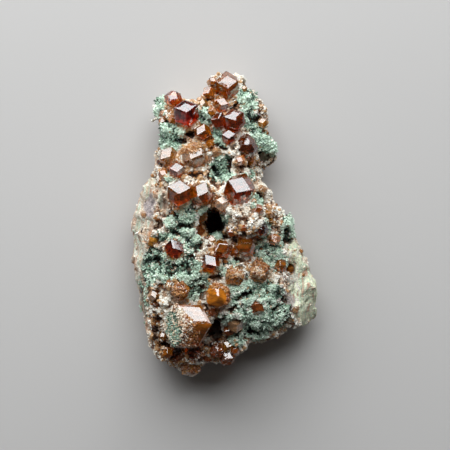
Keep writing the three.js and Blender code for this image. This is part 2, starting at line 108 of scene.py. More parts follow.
# ---------------------------------------------------------------- numbers and meshes


def lattice_noise(points: np.ndarray, scale: float, seed: int) -> np.ndarray:
    """Smooth random values that repeat from run to run.

    Args:
        points: places in millimetres, one row each.
        scale: width of one swelling in millimetres.
        seed: picks one of many patterns.

    Returns:
        One value from -1 to 1 for each row.
    """
    place = points / scale + seed * HASH_STEP
    cell = np.floor(place)
    part = place - cell
    ease = part * part * (3 - 2 * part)
    total = np.zeros(len(points))
    for corner in product((0, 1), repeat=3):
        mixed = np.sin((cell + corner) @ HASH_WEIGHTS[:, 0]) * HASH_SPREAD
        total += (mixed - np.floor(mixed)) * np.prod(np.where(corner, ease, 1 - ease), axis=1)
    return 2 * total - 1


def rough_noise(points: np.ndarray, scale: float, seed: int, octaves: int = 3) -> np.ndarray:
    """Noise with finer noise on it, each octave half as wide and half as deep.

    Args:
        points: places in millimetres, one row each.
        scale: width of the widest swelling in millimetres.
        seed: picks one of many patterns.
        octaves: how many layers are added up.

    Returns:
        One value from about -1 to 1 for each row.
    """
    layers = [lattice_noise(points, scale / 2**n, seed + n) / 2**n for n in range(octaves)]
    return np.sum(layers, axis=0) / (2 - 0.5 ** (octaves - 1))


@dataclass(frozen=True)
class Sites:
    """The nearest of many scattered sites, about one in each cube of a lattice, for each place."""

    distance: np.ndarray  # to the nearest site
    gap: np.ndarray  # how much farther the second nearest is
    away: np.ndarray  # from the nearest site to the place
    chance: np.ndarray  # three random values from -1 to 1 that belong to the nearest site

    @classmethod
    def near(cls, points: np.ndarray, size: float, seed: int) -> "Sites":
        """Finds each place's nearest site.

        Args:
            points: places in millimetres, one row each.
            size: width of the lattice's cubes in millimetres.
            seed: picks one of many patterns.

        Returns:
            The nearest site of each place.
        """
        home = np.round(points / size)
        first = np.full(len(points), np.inf)
        second = np.full(len(points), np.inf)
        away = np.zeros_like(points)
        chance = np.zeros_like(points)
        for step in product((-1, 0, 1), repeat=3):
            cell = home + step
            jitter = cls.chances(cell, seed)
            from_site = points - (cell + SITE_JITTER * jitter) * size
            distance = np.linalg.norm(from_site, axis=1)
            closer = distance < first
            second = np.where(closer, first, np.minimum(second, distance))
            first = np.where(closer, distance, first)
            away[closer] = from_site[closer]
            chance[closer] = cls.chances(cell[closer], seed + 1)
        return cls(first, second - first, away, chance)

    @staticmethod
    def chances(cells: np.ndarray, seed: int) -> np.ndarray:
        """Three random values from -1 to 1 for each cube of the lattice."""
        mixed = np.sin(cells @ HASH_WEIGHTS + seed * HASH_STEP) * HASH_SPREAD
        return 2 * (mixed - np.floor(mixed)) - 1


def block_relief(
    points: np.ndarray, size: float, seed: int, tilt: float, groove: float = 0.0
) -> np.ndarray:
    """Relief of rock that broke along blocks: flat, tilted facets with grooves between them.

    Args:
        points: places in millimetres, one row each.
        size: width of a block in millimetres.
        seed: picks one of many patterns.
        tilt: how steeply a facet leans, as rise over run.
        groove: depth of the grooves as a share of a block's width.

    Returns:
        The relief in millimetres for each row.
    """
    sites = Sites.near(points, size, seed)
    lean = np.sum(sites.away * sites.chance, axis=1)
    step = STEP_SHARE * size * sites.chance[:, 0]
    dip = groove * size * (1 - smoothstep(0.0, GROOVE_SHARE * size, sites.gap))
    return tilt * (lean + step) - dip


def dome_relief(points: np.ndarray, size: float, seed: int) -> np.ndarray:
    """Relief of a druse: rounded mounds, from 1 on top to 0 in the gaps between them.

    Args:
        points: places in millimetres, one row each.
        size: width of a mound in millimetres.
        seed: picks one of many patterns.

    Returns:
        The relief for each row.
    """
    sites = Sites.near(points, size, seed)
    reach = MOUND_REACH * size * (1 + MOUND_SPREAD * sites.chance[:, 1])
    return np.sqrt(np.clip(1 - (sites.distance / reach) ** 2, 0, 1))


def smoothstep(low: float, high: float, value: np.ndarray) -> np.ndarray:
    """Goes from 0 at `low` to 1 at `high` with no corner at either end."""
    share = np.clip((value - low) / (high - low), 0, 1)
    return share * share * (3 - 2 * share)


def unit(vectors: np.ndarray) -> np.ndarray:
    """The rows scaled to length 1."""
    return vectors / np.maximum(np.linalg.norm(vectors, axis=1, keepdims=True), TINY)


def rows_of(mesh: Mesh, kind: str) -> np.ndarray:
    """Reads three numbers for each vertex of a mesh.

    Args:
        mesh: the mesh to read.
        kind: what to read, as Blender names it.

    Returns:
        One row of three for each vertex.
    """
    flat = np.empty(len(mesh.vertices) * 3, dtype=np.float32)
    mesh.vertices.foreach_get(kind, flat)
    return flat.reshape(-1, 3).astype(float)


def vertices_of(mesh: Mesh) -> np.ndarray:
    """A mesh's vertices in millimetres, one row each."""
    return rows_of(mesh, "co") / MM


def normals_of(mesh: Mesh) -> np.ndarray:
    """A mesh's vertex normals, one row each."""
    return rows_of(mesh, "normal")


def set_vertices(mesh: Mesh, points: np.ndarray) -> None:
    """Moves a mesh's vertices to `points`, in millimetres, kept inside the frame's box.

    Args:
        mesh: the mesh to change.
        points: one row for each vertex.
    """
    inside = np.clip(points, CAD_BOX[0] + BOX_MARGIN, CAD_BOX[1] - BOX_MARGIN)
    inside[:, 2] = np.maximum(np.clip(points[:, 2], None, CAD_BOX[1][2] - BOX_MARGIN), 0)
    mesh.vertices.foreach_set("co", (inside * MM).astype(np.float32).ravel())
    mesh.update()


def finished(form: bmesh.types.BMesh, name: str) -> Mesh:
    """Turns an edited form into a mesh, and frees the form.

    Args:
        form: the form.
        name: the mesh's name.

    Returns:
        The mesh.
    """
    mesh = bpy.data.meshes.new(name)
    form.to_mesh(mesh)
    form.free()
    return mesh


def set_attribute(mesh: Mesh, name: str, values: np.ndarray) -> None:
    """Stores one number for each vertex, for a finish to read.

    Args:
        mesh: the mesh that gets the numbers.
        name: the attribute's name.
        values: one number for each vertex.
    """
    attribute = mesh.attributes.new(name, "FLOAT", "POINT")
    attribute.data.foreach_set("value", np.asarray(values, dtype=np.float32))


def add_object(name: str, mesh: Mesh) -> Piece:
    """Links a new object into the scene.

    Args:
        name: the object's name.
        mesh: its mesh.

    Returns:
        The object.
    """
    piece = bpy.data.objects.new(name, mesh)
    bpy.context.scene.collection.objects.link(piece)
    return piece


def settle_modifiers(piece: Piece) -> None:
    """Replaces an object's mesh with what its modifiers make of it.

    Args:
        piece: the object, changed in place.
    """
    graph = bpy.context.evaluated_depsgraph_get()
    mesh = bpy.data.meshes.new_from_object(piece.evaluated_get(graph))
    piece.modifiers.clear()
    piece.data = mesh


def dress(piece: Piece, material: Material) -> None:
    """Gives a piece its one material and its body.

    Args:
        piece: the object to dress.
        material: the finish that covers it.
    """
    piece.data.materials.clear()
    piece.data.materials.append(material)
    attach(piece, "root")


def report(piece: Piece) -> None:
    """Logs a piece's name and its number of triangles."""
    piece.data.calc_loop_triangles()
    log.info("%s: %d triangles", piece.name, len(piece.data.loop_triangles))


# ---------------------------------------------------------------- minerals


class Mineral(Enum):
    """What covers a patch of the rock; SHADE marks painted shade instead of a mineral."""

    DIOPSIDE = "diopside"
    CREAM = "cream"
    BROWN = "brown"
    PALE_GREEN = "pale_green"
    LILAC = "lilac"
    RIND = "rind"
    # painted shade: darkens the rock's and the grains' colour where little light falls, and sinks the
    # rock there
    SHADE = "shade"


@dataclass(frozen=True)
class Patch:
    """An oval patch of one mineral on the specimen's face, in millimetres and degrees."""

    mineral: Mineral
    x: float
    y: float
    reach_x: float
    reach_y: float
    turn: float = 0.0
    weight: float = 1.0

    def cover(self, points: np.ndarray, border: np.ndarray) -> np.ndarray:
        """How much of this mineral lies at each place.

        Args:
            points: places in millimetres.
            border: how far the border strays at each place, as a share of the patch.

        Returns:
            One value from 0 to the patch's weight for each place.
        """
        angle = math.radians(self.turn)
        away = points[:, :2] - SHIFT[:2] - (self.x, self.y)
        along = away @ (math.cos(angle), math.sin(angle)) / self.reach_x
        across = away @ (-math.sin(angle), math.cos(angle)) / self.reach_y
        reach = np.hypot(along, across) + border
        return self.weight * (1 - smoothstep(*PATCH_FADE, reach))


# Each row: the middle in x and y, the reach along x and y, and where given the turn and the weight.
PATCH_ROWS: dict[Mineral, tuple[Numbers, ...]] = {
    Mineral.DIOPSIDE: (  # green druse
        # narrow end and its column
        (-14.0, 22.8, 3.0, 2.8), (-13.8, 20.8, 2.6, 2.2), (-16.2, 28.6, 1.0, 1.6),
        (-16.0, 31.0, 1.6, 1.2, 0, 0.7), (-4.6, 26.6, 1.5, 2.0), (-2.0, 22.8, 1.1, 1.2),
        (-0.8, 20.8, 1.4, 1.3, -30), (5.0, 32.0, 2.2, 1.8, -20), (6.2, 29.8, 1.2, 2.0),
        (5.6, 26.2, 1.4, 3.2, 8), (7.0, 22.9, 1.3, 2.1, 15), (9.4, 20.4, 2.2, 1.8, -20),
        (11.6, 19.0, 1.6, 1.4), (-0.8, 15.2, 1.8, 2.3), (-1.8, 12.6, 1.6, 1.2),
        (1.0, 11.8, 2.4, 0.9, -15), (-13.2, 11.8, 1.5, 0.8), (6.6, 12.4, 1.4, 1.0, 0, 0.5),
        # round the deep hollow
        (-9.8, 5.2, 1.4, 1.5), (-9.4, 2.4, 1.7, 2.0), (-12.6, 0.6, 2.0, 1.3), (-10.8, -2.0, 2.8, 1.3),
        (-15.6, -3.0, 2.3, 0.9, 10), (-8.2, -4.8, 2.0, 2.0), (-16.0, -7.6, 2.7, 1.5),
        (-11.8, -8.6, 3.2, 1.2), (-13.8, -11.8, 3.6, 2.0), (-8.0, -12.2, 3.8, 2.6),
        (-6.2, -15.0, 2.4, 1.6), (-8.2, -16.8, 1.6, 1.8), (-1.2, 1.9, 1.1, 1.1), (1.6, 7.2, 1.0, 0.9),
        (0.0, 2.0, 0.8, 1.6, 0, 1.2), (-5.0, 3.2, 1.0, 1.6, 0, 1.2), (-2.4, -2.8, 1.6, 0.8, 0, 1.2),
        (7.8, 5.6, 1.2, 1.8), (10.0, -0.6, 1.0, 2.4), (16.0, -1.0, 1.7, 3.6, -10),
        (13.6, -3.8, 1.6, 1.4),
        # broad end
        (1.8, -9.2, 1.4, 1.0), (-0.8, -11.4, 1.6, 1.2), (9.4, -6.2, 2.8, 1.8, -10),
        (12.4, -8.8, 2.6, 2.6, 0, 0.8), (2.6, -16.0, 2.4, 1.6), (6.6, -15.4, 3.4, 1.8),
        (5.2, -19.6, 3.0, 2.4), (10.8, -16.8, 3.0, 2.2), (10.2, -22.2, 5.6, 3.2, 8),
        (7.6, -25.6, 4.2, 2.4, 15), (3.0, -28.0, 1.5, 1.8), (0.2, -23.0, 1.8, 1.1),
        (-20.3, -18.4, 0.9, 5.4, 6, 0.6), (-18.6, -10.2, 2.0, 4.0, 0, 0.9),
    ),
    Mineral.BROWN: (  # brown garnet grains
        (-5.6, 31.0, 2.6, 1.4), (-3.2, 34.2, 1.6, 2.0), (-13.6, 26.6, 2.8, 1.6, 0, 0.8),
        (-6.8, 22.2, 3.0, 1.9), (0.4, 30.6, 4.0, 1.6, 0, 0.8), (-0.6, 26.8, 1.4, 2.4),
        (-4.0, 19.6, 1.6, 1.6), (9.4, 27.2, 1.0, 2.8, 10, 0.9), (-11.6, 13.0, 4.4, 1.4, 0, 0.9),
        (-6.8, 12.4, 3.0, 1.1, 0, 0.8), (-12.4, 5.8, 1.6, 3.0, 0, 0.8), (-4.2, 6.8, 1.8, 2.2, 0, 0.8),
        (-1.6, 5.0, 1.6, 2.2, 0, 0.9), (5.4, 15.6, 3.0, 0.9, 0, 0.9), (5.4, 7.8, 2.4, 0.7, 0, 0.8),
        (11.0, 2.6, 1.2, 2.4, 0, 0.9), (3.6, -1.6, 3.4, 1.2, 0, 0.9), (-2.2, -5.6, 2.0, 2.2, 0, 0.9),
        (5.2, -5.4, 3.0, 1.8, 0, 0.9), (-1.6, -8.2, 1.6, 1.2, 0, 0.9), (2.6, -12.0, 2.2, 2.2, 0, 0.7),
        (8.2, -11.2, 2.4, 2.2, 0, 0.7), (-12.6, -14.8, 1.8, 1.4, 0, 0.7),
        (-17.4, -17.8, 1.3, 2.2, 0, 0.9), (-17.2, -24.6, 0.9, 2.6, 0, 0.8),
        (-4.0, -21.4, 2.2, 0.8, -20, 0.9), (-8.6, -31.8, 5.6, 2.0, 0, 1.1),
        (-0.8, -31.0, 3.4, 2.6, 0, 1.1), (2.4, -25.4, 2.6, 1.0, 10, 0.9),
        (-13.2, -32.6, 3.4, 1.8, -35, 1.0), (-4.4, -1.4, 1.5, 1.6, 0, 1.2),
        (-2.0, 4.0, 2.2, 0.8, 0, 1.2), (7.4, 34.8, 2.4, 1.0, -40, 0.9),
        (-15.8, -30.0, 2.6, 1.5, -40, 0.7),
    ),
    Mineral.CREAM: (  # cream, granular grossular
        (4.4, 35.4, 4.4, 1.8, -30), (9.0, 31.2, 1.3, 3.4, 12, 1.2), (9.6, 26.2, 1.1, 2.4, 0, 1.1),
        (3.4, 29.8, 2.2, 2.2), (4.8, 22.6, 1.4, 3.0, 10), (13.2, 19.6, 1.0, 1.8),
        (-15.0, 27.8, 2.0, 1.2), (-2.4, 18.2, 2.0, 1.4), (4.2, 13.4, 3.4, 1.4), (8.0, 11.4, 1.6, 2.4),
        (10.4, 8.2, 1.6, 2.0), (-12.6, 9.4, 3.0, 1.0), (4.0, 3.4, 4.2, 3.6, -10, 1.4),
        (9.0, 1.8, 1.8, 1.8), (-15.4, -0.4, 1.8, 1.8, 0, 0.8), (13.0, -11.6, 2.6, 2.0, 0, 0.9),
        (9.0, -13.8, 2.2, 0.9, 0, 0.7), (4.0, -24.2, 1.6, 0.8), (16.4, -7.4, 1.6, 2.4, 20),
        (-14.4, -18.0, 2.2, 1.0, -20), (16.3, -10.9, 1.3, 1.3, 0, 1.5),
    ),
    Mineral.PALE_GREEN: (  # pale green massive rock of the right flank
        (19.9, -18.0, 3.5, 8.6, 12, 1.2), (21.4, -24.4, 2.6, 3.0, 0, 1.2),
        (17.4, -8.0, 1.6, 4.4, 14, 1.0),
    ),
    Mineral.LILAC: (  # lilac-grey rock beside the flanks
        (14.8, -19.6, 2.4, 4.0, 10, 0.6), (16.0, -13.0, 2.2, 2.0, 20, 0.5),
        (-18.6, 4.6, 1.5, 3.0, 0, 0.8), (-19.6, 13.6, 1.2, 1.8, -30, 0.7),
    ),
    Mineral.RIND: (  # banded massive rock of the outer flanks
        (-21.8, 11.0, 3.4, 4.6, -35), (-22.9, 2.0, 2.8, 7.0, -8, 1.1), (-22.4, -9.0, 2.6, 9.0, 4, 1.1),
        (-21.2, -22.0, 1.9, 8.0, 6, 1.0), (-18.8, 7.4, 2.2, 3.6, -15, 1.0),
        (-18.9, 0.6, 1.3, 4.0, 0, 0.9), (-15.0, 6.0, 1.4, 3.2, 10, 0.9),
        (-18.2, 15.2, 1.3, 2.4, -25, 0.7), (18.8, -8.0, 1.4, 4.2, 16, 0.6),
    ),
    Mineral.SHADE: (  # places with little light
        # sunk, hardly lit clefts
        (-2.6, 1.0, 2.3, 3.4, 0, 0.9), (-2.8, -26.8, 1.7, 3.8, -20, 1.2), (9.8, 17.2, 1.5, 1.3, 0, 1.2),
        (-8.2, 22.6, 1.9, 1.0), (-11.2, 20.8, 1.3, 0.9), (-1.5, 22.2, 0.9, 0.7),
        (-0.8, 19.4, 1.6, 0.8, -30), (1.9, 19.8, 0.9, 1.6), (-4.6, 31.0, 1.9, 0.6, 20),
        (8.0, 26.8, 0.8, 1.1), (-4.5, 16.2, 0.8, 1.7), (-2.6, 13.8, 0.7, 1.1), (-7.4, 12.6, 2.1, 0.6),
        (0.9, 15.0, 0.7, 1.3), (-7.8, 5.4, 0.8, 1.6), (-9.8, -0.2, 2.5, 0.9), (-13.2, -1.5, 1.6, 0.7),
        (-16.0, 0.1, 0.8, 1.3), (-15.4, 5.6, 0.7, 2.0, 0, 0.7), (-6.4, -5.2, 1.2, 1.3),
        (-8.8, -7.6, 1.6, 0.9), (-11.0, -10.2, 2.5, 0.6), (-2.5, -12.8, 1.6, 1.3),
        (3.6, -8.6, 1.7, 0.9), (3.2, -2.8, 2.6, 0.6), (7.5, -3.2, 1.6, 0.5), (5.2, -17.0, 1.9, 0.9, 15),
        (3.0, -18.2, 1.3, 0.7), (-5.6, -16.4, 1.0, 2.2), (-8.2, -15.9, 0.9, 1.6),
        (-5.0, -20.3, 1.3, 0.8, -40), (1.5, -21.2, 0.9, 0.7), (6.5, -26.6, 1.7, 0.8),
        (10.8, -19.4, 0.8, 0.7), (-1.5, -23.5, 1.5, 0.7), (-2.4, -31.0, 2.0, 0.9),
        (-17.2, -19.6, 0.9, 1.2), (-17.4, -26.6, 0.8, 2.4, 0, 0.7), (-15.0, -29.8, 1.3, 0.7),
        (13.5, -12.0, 0.9, 0.7), (5.2, -13.0, 0.8, 1.1), (15.0, -3.0, 0.8, 2.4, -10),
        (16.6, -26.0, 1.2, 0.8),
        # druse that lies lower than the rest and gets less light
        (-11.6, -7.4, 6.4, 5.2, 0, 0.58), (-14.2, 21.4, 3.2, 3.4, 0, 0.30),
        (7.8, 34.0, 3.2, 2.6, -40, 0.50), (-4.0, -14.6, 4.0, 3.0, 0, 0.34),
        (-2.8, -15.8, 3.0, 2.2, 0, 0.40), (-5.4, -31.4, 9.0, 2.6, 0, 0.40),
    ),
}
PATCHES = tuple(Patch(mineral, *row) for mineral, rows in PATCH_ROWS.items() for row in rows)


@dataclass
class MineralMap:
    """Which mineral covers each place on the rock, and where the painted shade lies."""

    patches: tuple[Patch, ...] = PATCHES
    border_scale: float = 1.7  # width of a bend in a patch's border
    border_depth: float = 0.34  # how far a border strays, as a share of the patch
    wall_rise: float = 0.1  # a surface whose normal rises less than this is a flank
    open_rise: float = 0.5  # and one whose normal rises more is open to the front
    back_dip: Pair = (0.3, 0.7)  # between these a surface turns into the back
    high: Pair = (8.0, 12.0)  # between these heights a wall comes to count as high
    high_wall: float = 0.75  # share of the druse that grows on walls high up

    def weights(self, points: np.ndarray, normals: np.ndarray) -> dict[Mineral, np.ndarray]:
        """The cover of each mineral at each place.

        Args:
            points: places in millimetres.
            normals: the surface's normals there.

        Returns:
            For each mineral, one value from 0 to about 1 for each place.
        """
        border = self.border_depth * rough_noise(points, self.border_scale, SEED)
        cover = {mineral: np.zeros(len(points)) for mineral in Mineral}
        for patch in self.patches:
            here = patch.cover(points, border)
            cover[patch.mineral] = np.maximum(cover[patch.mineral], here)
        facing_up = smoothstep(self.wall_rise, self.open_rise, normals[:, 2])
        high = smoothstep(*self.high, points[:, 2])
        open_ground = np.maximum(facing_up, self.high_wall * high)
        cover[Mineral.DIOPSIDE] *= open_ground
        facing_down = smoothstep(*self.back_dip, -normals[:, 2])
        for mineral in (Mineral.BROWN, Mineral.CREAM, Mineral.SHADE):
            cover[mineral] *= 1 - facing_down
        wall = np.maximum(1 - open_ground, cover[Mineral.RIND])
        other = np.maximum(cover[Mineral.PALE_GREEN], cover[Mineral.BROWN])
        cover[Mineral.RIND] = wall * (1 - np.minimum(other, 1))
        return cover


# ---------------------------------------------------------------- finishes

TONE = "tone"  # how light a small crystal is, from 0 to 1; in the crusts it also carries painted shade and painted light
POCKET = "pocket"  # 1 where the rock's wall touches a large garnet
CREST = "crest"  # from -1 in the rock's clefts to 1 on its edges


class Shader:
    """A material's node tree, built from the surface shader backwards."""

    def __init__(self, name: str) -> None:
        """Starts a material with a Principled shader.

        Args:
            name: the material's name.
        """
        self.material = bpy.data.materials.new(name)
        self.material.use_nodes = True
        self.tree = self.material.node_tree
        self.tree.nodes.clear()
        self.output = self.tree.nodes.new("ShaderNodeOutputMaterial")
        self.surface = self.tree.nodes.new("ShaderNodeBsdfPrincipled")
        self.join(self.surface, "BSDF", self.output, "Surface")
        self.coordinates = self.tree.nodes.new("ShaderNodeTexCoord")

    def join(self, source: bpy.types.Node, out: str, target: bpy.types.Node, into: str) -> None:
        """Links a node's output to another's input."""
        self.tree.links.new(source.outputs[out], target.inputs[into])

    def values(self, **sockets: float | Numbers) -> None:
        """Sets the surface shader's own sockets; an underscore stands for a blank."""
        for name, value in sockets.items():
            self.surface.inputs[name.replace("_", " ")].default_value = value

    def attribute(self, name: str) -> Socket:
        """Reads a number that the mesh stores for each vertex.

        Args:
            name: the attribute's name.

        Returns:
            The number's socket.
        """
        node = self.tree.nodes.new("ShaderNodeAttribute")
        node.attribute_name = name
        return node.outputs["Fac"]

    def noise(self, size: float, detail: float = 3.0, stretch: Vector | None = None) -> Socket:
        """A noise pattern fixed to the specimen.

        Args:
            size: width of a swelling in millimetres.
            detail: how many finer layers it has.
            stretch: how much wider it is along each axis.

        Returns:
            The pattern's value, from 0 to 1.
        """
        node = self.tree.nodes.new("ShaderNodeTexNoise")
        node.inputs["Scale"].default_value = 1 / (size * MM)
        node.inputs["Detail"].default_value = detail
        source = self.coordinates.outputs["Object"]
        if stretch is not None:
            mapping = self.tree.nodes.new("ShaderNodeMapping")
            mapping.inputs["Scale"].default_value = [1 / s for s in stretch]
            self.tree.links.new(source, mapping.inputs["Vector"])
            source = mapping.outputs["Vector"]
        self.tree.links.new(source, node.inputs["Vector"])
        return node.outputs["Fac"]

    def grains(self, size: float) -> Socket:
        """A cell pattern: how far each place is from its grain's centre.

        Args:
            size: width of a grain in millimetres.

        Returns:
            The distance's socket, from 0 to 1.
        """
        node = self.tree.nodes.new("ShaderNodeTexVoronoi")
        node.inputs["Scale"].default_value = 1 / (size * MM)
        self.tree.links.new(self.coordinates.outputs["Object"], node.inputs["Vector"])
        return node.outputs["Distance"]

    def ramp(self, value: Socket, *stops: tuple[float, Colour]) -> Socket:
        """Turns a number into a colour.

        Args:
            value: the number.
            stops: places from 0 to 1 and the colour at each.

        Returns:
            The colour's socket.
        """
        node = self.tree.nodes.new("ShaderNodeValToRGB")
        marks = node.color_ramp.elements
        while len(marks) < len(stops):
            marks.new(0.5)
        for mark, (place, colour) in zip(marks, stops):
            mark.position = place
            mark.color = (*colour, 1)
        self.tree.links.new(value, node.inputs["Fac"])
        return node.outputs["Color"]

    def mix(self, share: Socket, first: Socket, second: Socket) -> Socket:
        """Mixes two colours.

        Args:
            share: how much of the second colour shows, from 0 to 1.
            first: the colour where the share is 0.
            second: the colour where it is 1.

        Returns:
            The mixed colour's socket.
        """
        node = self.tree.nodes.new("ShaderNodeMix")
        node.data_type = "RGBA"
        self.tree.links.new(share, node.inputs["Factor"])
        self.tree.links.new(first, node.inputs["A"])
        self.tree.links.new(second, node.inputs["B"])
        return node.outputs["Result"]

    def span(
        self, value: Socket, low: float, high: float, to_low: float = 0.0, to_high: float = 1.0
    ) -> Socket:
        """Spreads a number from one range to another, and holds it there.

        Args:
            value: the number.
            low: where the first range starts.
            high: where it ends.
            to_low: what `low` becomes.
            to_high: what `high` becomes.

        Returns:
            The new number's socket.
        """
        node = self.tree.nodes.new("ShaderNodeMapRange")
        ends = {"From Min": low, "From Max": high, "To Min": to_low, "To Max": to_high}
        for name, number in ends.items():
            node.inputs[name].default_value = number
        self.tree.links.new(value, node.inputs["Value"])
        return node.outputs["Result"]

    def colour(self, source: Socket) -> None:
        """Links the surface's base colour."""
        self.tree.links.new(source, self.surface.inputs["Base Color"])

    def roughness(self, source: Socket) -> None:
        """Links the surface's roughness."""
        self.tree.links.new(source, self.surface.inputs["Roughness"])

    def bump(self, height: Socket, depth: float) -> None:
        """Adds fine relief on top of what the surface already has.

        Args:
            height: the relief's pattern.
            depth: its depth in millimetres.
        """
        node = self.tree.nodes.new("ShaderNodeBump")
        node.inputs["Distance"].default_value = depth * MM
        node.inputs["Strength"].default_value = 1
        self.tree.links.new(height, node.inputs["Height"])
        normal = self.surface.inputs["Normal"]
        if normal.is_linked:
            self.tree.links.new(normal.links[0].from_socket, node.inputs["Normal"])
        self.tree.links.new(node.outputs["Normal"], normal)


@dataclass(frozen=True)
class RockFinish:
    """The massive rock between and under the crystals."""

    cream: Colour = (0.62, 0.47, 0.33)
    pink: Colour = (0.58, 0.33, 0.23)
    white: Colour = (0.82, 0.77, 0.68)
    orange: Colour = (0.45, 0.17, 0.05)
    # the rock under the druse: its own green, made near-black as painted shade in the gaps between the
    # crystals
    green: Colour = (0.035, 0.07, 0.05)
    mint: Colour = (0.54, 0.68, 0.52)
    pale_green: Colour = (0.88, 0.89, 0.60)
    lilac: Colour = (0.50, 0.42, 0.42)
    brown: Colour = (0.16, 0.06, 0.02)
    # painted shade: the near-black laid over the rock in its clefts and in shaded places
    dark: Colour = (0.010, 0.008, 0.006)
    pocket: Colour = (0.84, 0.50, 0.26)  # pale rock that a clear garnet grew on
    # width in millimetres and detail of each pattern
    fine: Pair = (0.55, 3)
    mottle: Pair = (2.6, 5)
    band: Pair = (1.7, 4)
    stripe: Pair = (0.8, 5)
    speck: Pair = (1.1, 3)
    sugar: Pair = (0.28, 3)
    sugar_patch: Pair = (0.45, 4)
    glow: Pair = (1.8, 2)
    grit: tuple[Triple, ...] = ((0.35, 4, 0.20), (0.12, 2, 0.05))  # width, detail and depth
    granule: Pair = (0.45, 0.12)  # width and depth
    bedding: Triple = (1, 3.5, 1.5)  # how much wider the bands are along each axis
    shadow: float = 0.4  # how light a mineral's darkest specks are, as a share of its colour
    # between which values a layer fades in over the rest, and from which share to which
    specked: Pair = (0.44, 0.68)
    sugared: Numbers = (0.45, 0.75, 0.0, 0.6)
    striped: Pair = (0.1, 0.7)
    tinted: Pair = (0.15, 0.7)
    # painted shade: between these crest values the rock darkens in its clefts
    sunk: Pair = (-0.15, -0.65)
    shaded: Numbers = (0.0, 1.0, 0.0, 0.85)
    rough: Numbers = (0.3, 0.7, 0.55, 0.85)  # the same for the roughness

    def material(self) -> Material:
        """Builds the finish.

        Returns:
            The material.
        """
        shader = Shader("rock")
        fine = shader.noise(*self.fine)
        bedding = Vector(self.bedding)
        rock = shader.ramp(
            shader.noise(*self.mottle),
            (0.36, self.orange), (0.43, self.pink), (0.50, self.cream), (0.62, self.white),
        )
        bands = shader.ramp(
            shader.noise(*self.band, bedding),
            (0.34, self.orange), (0.41, self.pink), (0.47, self.cream), (0.53, self.white),
            (0.58, self.mint), (0.66, self.cream),
        )
        rock = shader.mix(shader.attribute(Mineral.RIND.value), rock, bands)
        specks = shader.ramp(fine, (0.36, self.brown), (0.48, self.cream), (0.64, self.white))
        rock = shader.mix(shader.span(shader.noise(*self.speck), *self.specked), rock, specks)
        stripes = shader.ramp(
            shader.noise(*self.stripe, bedding),
            (0.30, self.pink), (0.38, self.cream), (0.44, self.mint), (0.52, self.pale_green),
            (0.64, self.white),
        )
        pale_green = shader.span(shader.attribute(Mineral.PALE_GREEN.value), *self.striped)
        rock = shader.mix(pale_green, rock, stripes)
        tints = {Mineral.LILAC: self.lilac, Mineral.BROWN: self.brown, Mineral.DIOPSIDE: self.green}
        for mineral, colour in tints.items():
            dim = tuple(self.shadow * part for part in colour)
            tint = shader.ramp(fine, (0.32, dim), (0.6, colour))
            cover = shader.span(shader.attribute(mineral.value), *self.tinted)
            rock = shader.mix(cover, rock, tint)
        sugar = shader.ramp(
            shader.noise(*self.sugar), (0.40, self.pink), (0.52, self.cream), (0.62, self.white)
        )
        sugary = shader.span(shader.noise(*self.sugar_patch), *self.sugared)
        rock = shader.mix(sugary, rock, sugar)
        # Painted shade: near-black and brown laid over the rock in its clefts, by the crest, and where
        # the shade patches lie.
        painted_shade = shader.ramp(fine, (0.3, self.dark), (0.7, self.brown))
        rock = shader.mix(shader.span(shader.attribute(CREST), *self.sunk), rock, painted_shade)
        shade = shader.span(shader.attribute(Mineral.SHADE.value), *self.shaded)
        rock = shader.mix(shade, rock, painted_shade)
        glow = shader.ramp(
            shader.noise(*self.glow), (0.40, self.brown), (0.47, self.orange), (0.58, self.pocket)
        )
        rock = shader.mix(shader.attribute(POCKET), rock, glow)
        shader.colour(rock)
        shader.roughness(shader.span(fine, *self.rough))
        for width, detail, depth in self.grit:
            shader.bump(shader.noise(width, detail), depth)
        width, depth = self.granule
        shader.bump(shader.grains(width), depth)
        return shader.material


@dataclass(frozen=True)
class GrainFinish:
    """Many small crystals of one mineral, each with a tone from dark to light: partly its own, and in
    the crusts partly painted shade and painted light.
    """

    name: str
    slot: str
    tones: tuple[Colour, ...]  # evenly spaced from the darkest crystals to the lightest
    gloss: float  # roughness of the glossiest faces
    clear: float = 0.0  # how much light passes through
    refraction: float = 1.67
    # width in millimetres and detail of each pattern
    cloud: Pair = (0.3, 2)
    vein: Pair = (0.22, 2)
    wear: Pair = (0.25, 2)
    pits: Triple = (0.08, 2, 0.012)  # width, detail and depth of the finest relief
    # between which values a layer fades in over the rest, and from which share to which
    clouded: Pair = (0.25, 0.6)
    veined: Numbers = (0.5, 0.8, 0.0, 0.35)
    worn: Pair = (0.3, 0.7)
    wear_depth: float = 0.3  # how much rougher the worn places are

    def material(self) -> Material:
        """Builds the finish.

        Returns:
            The material.
        """
        shader = Shader(self.name)
        last = len(self.tones) - 1
        stops = [(index / last, colour) for index, colour in enumerate(self.tones)]
        own = shader.ramp(shader.attribute(TONE), *stops)
        cloud = shader.ramp(shader.noise(*self.cloud), (0.3, self.tones[-2]), (0.7, self.tones[-1]))
        share = shader.span(shader.noise(*self.vein), *self.veined)
        clouded = shader.mix(shader.span(shader.attribute(TONE), *self.clouded), own, cloud)
        shader.colour(shader.mix(share, own, clouded))
        wear = shader.noise(*self.wear)
        shader.roughness(shader.span(wear, *self.worn, self.gloss, self.gloss + self.wear_depth))
        width, detail, depth = self.pits
        shader.bump(shader.noise(width, detail), depth)
        shader.values(IOR=self.refraction, Transmission_Weight=self.clear)
        return shader.material


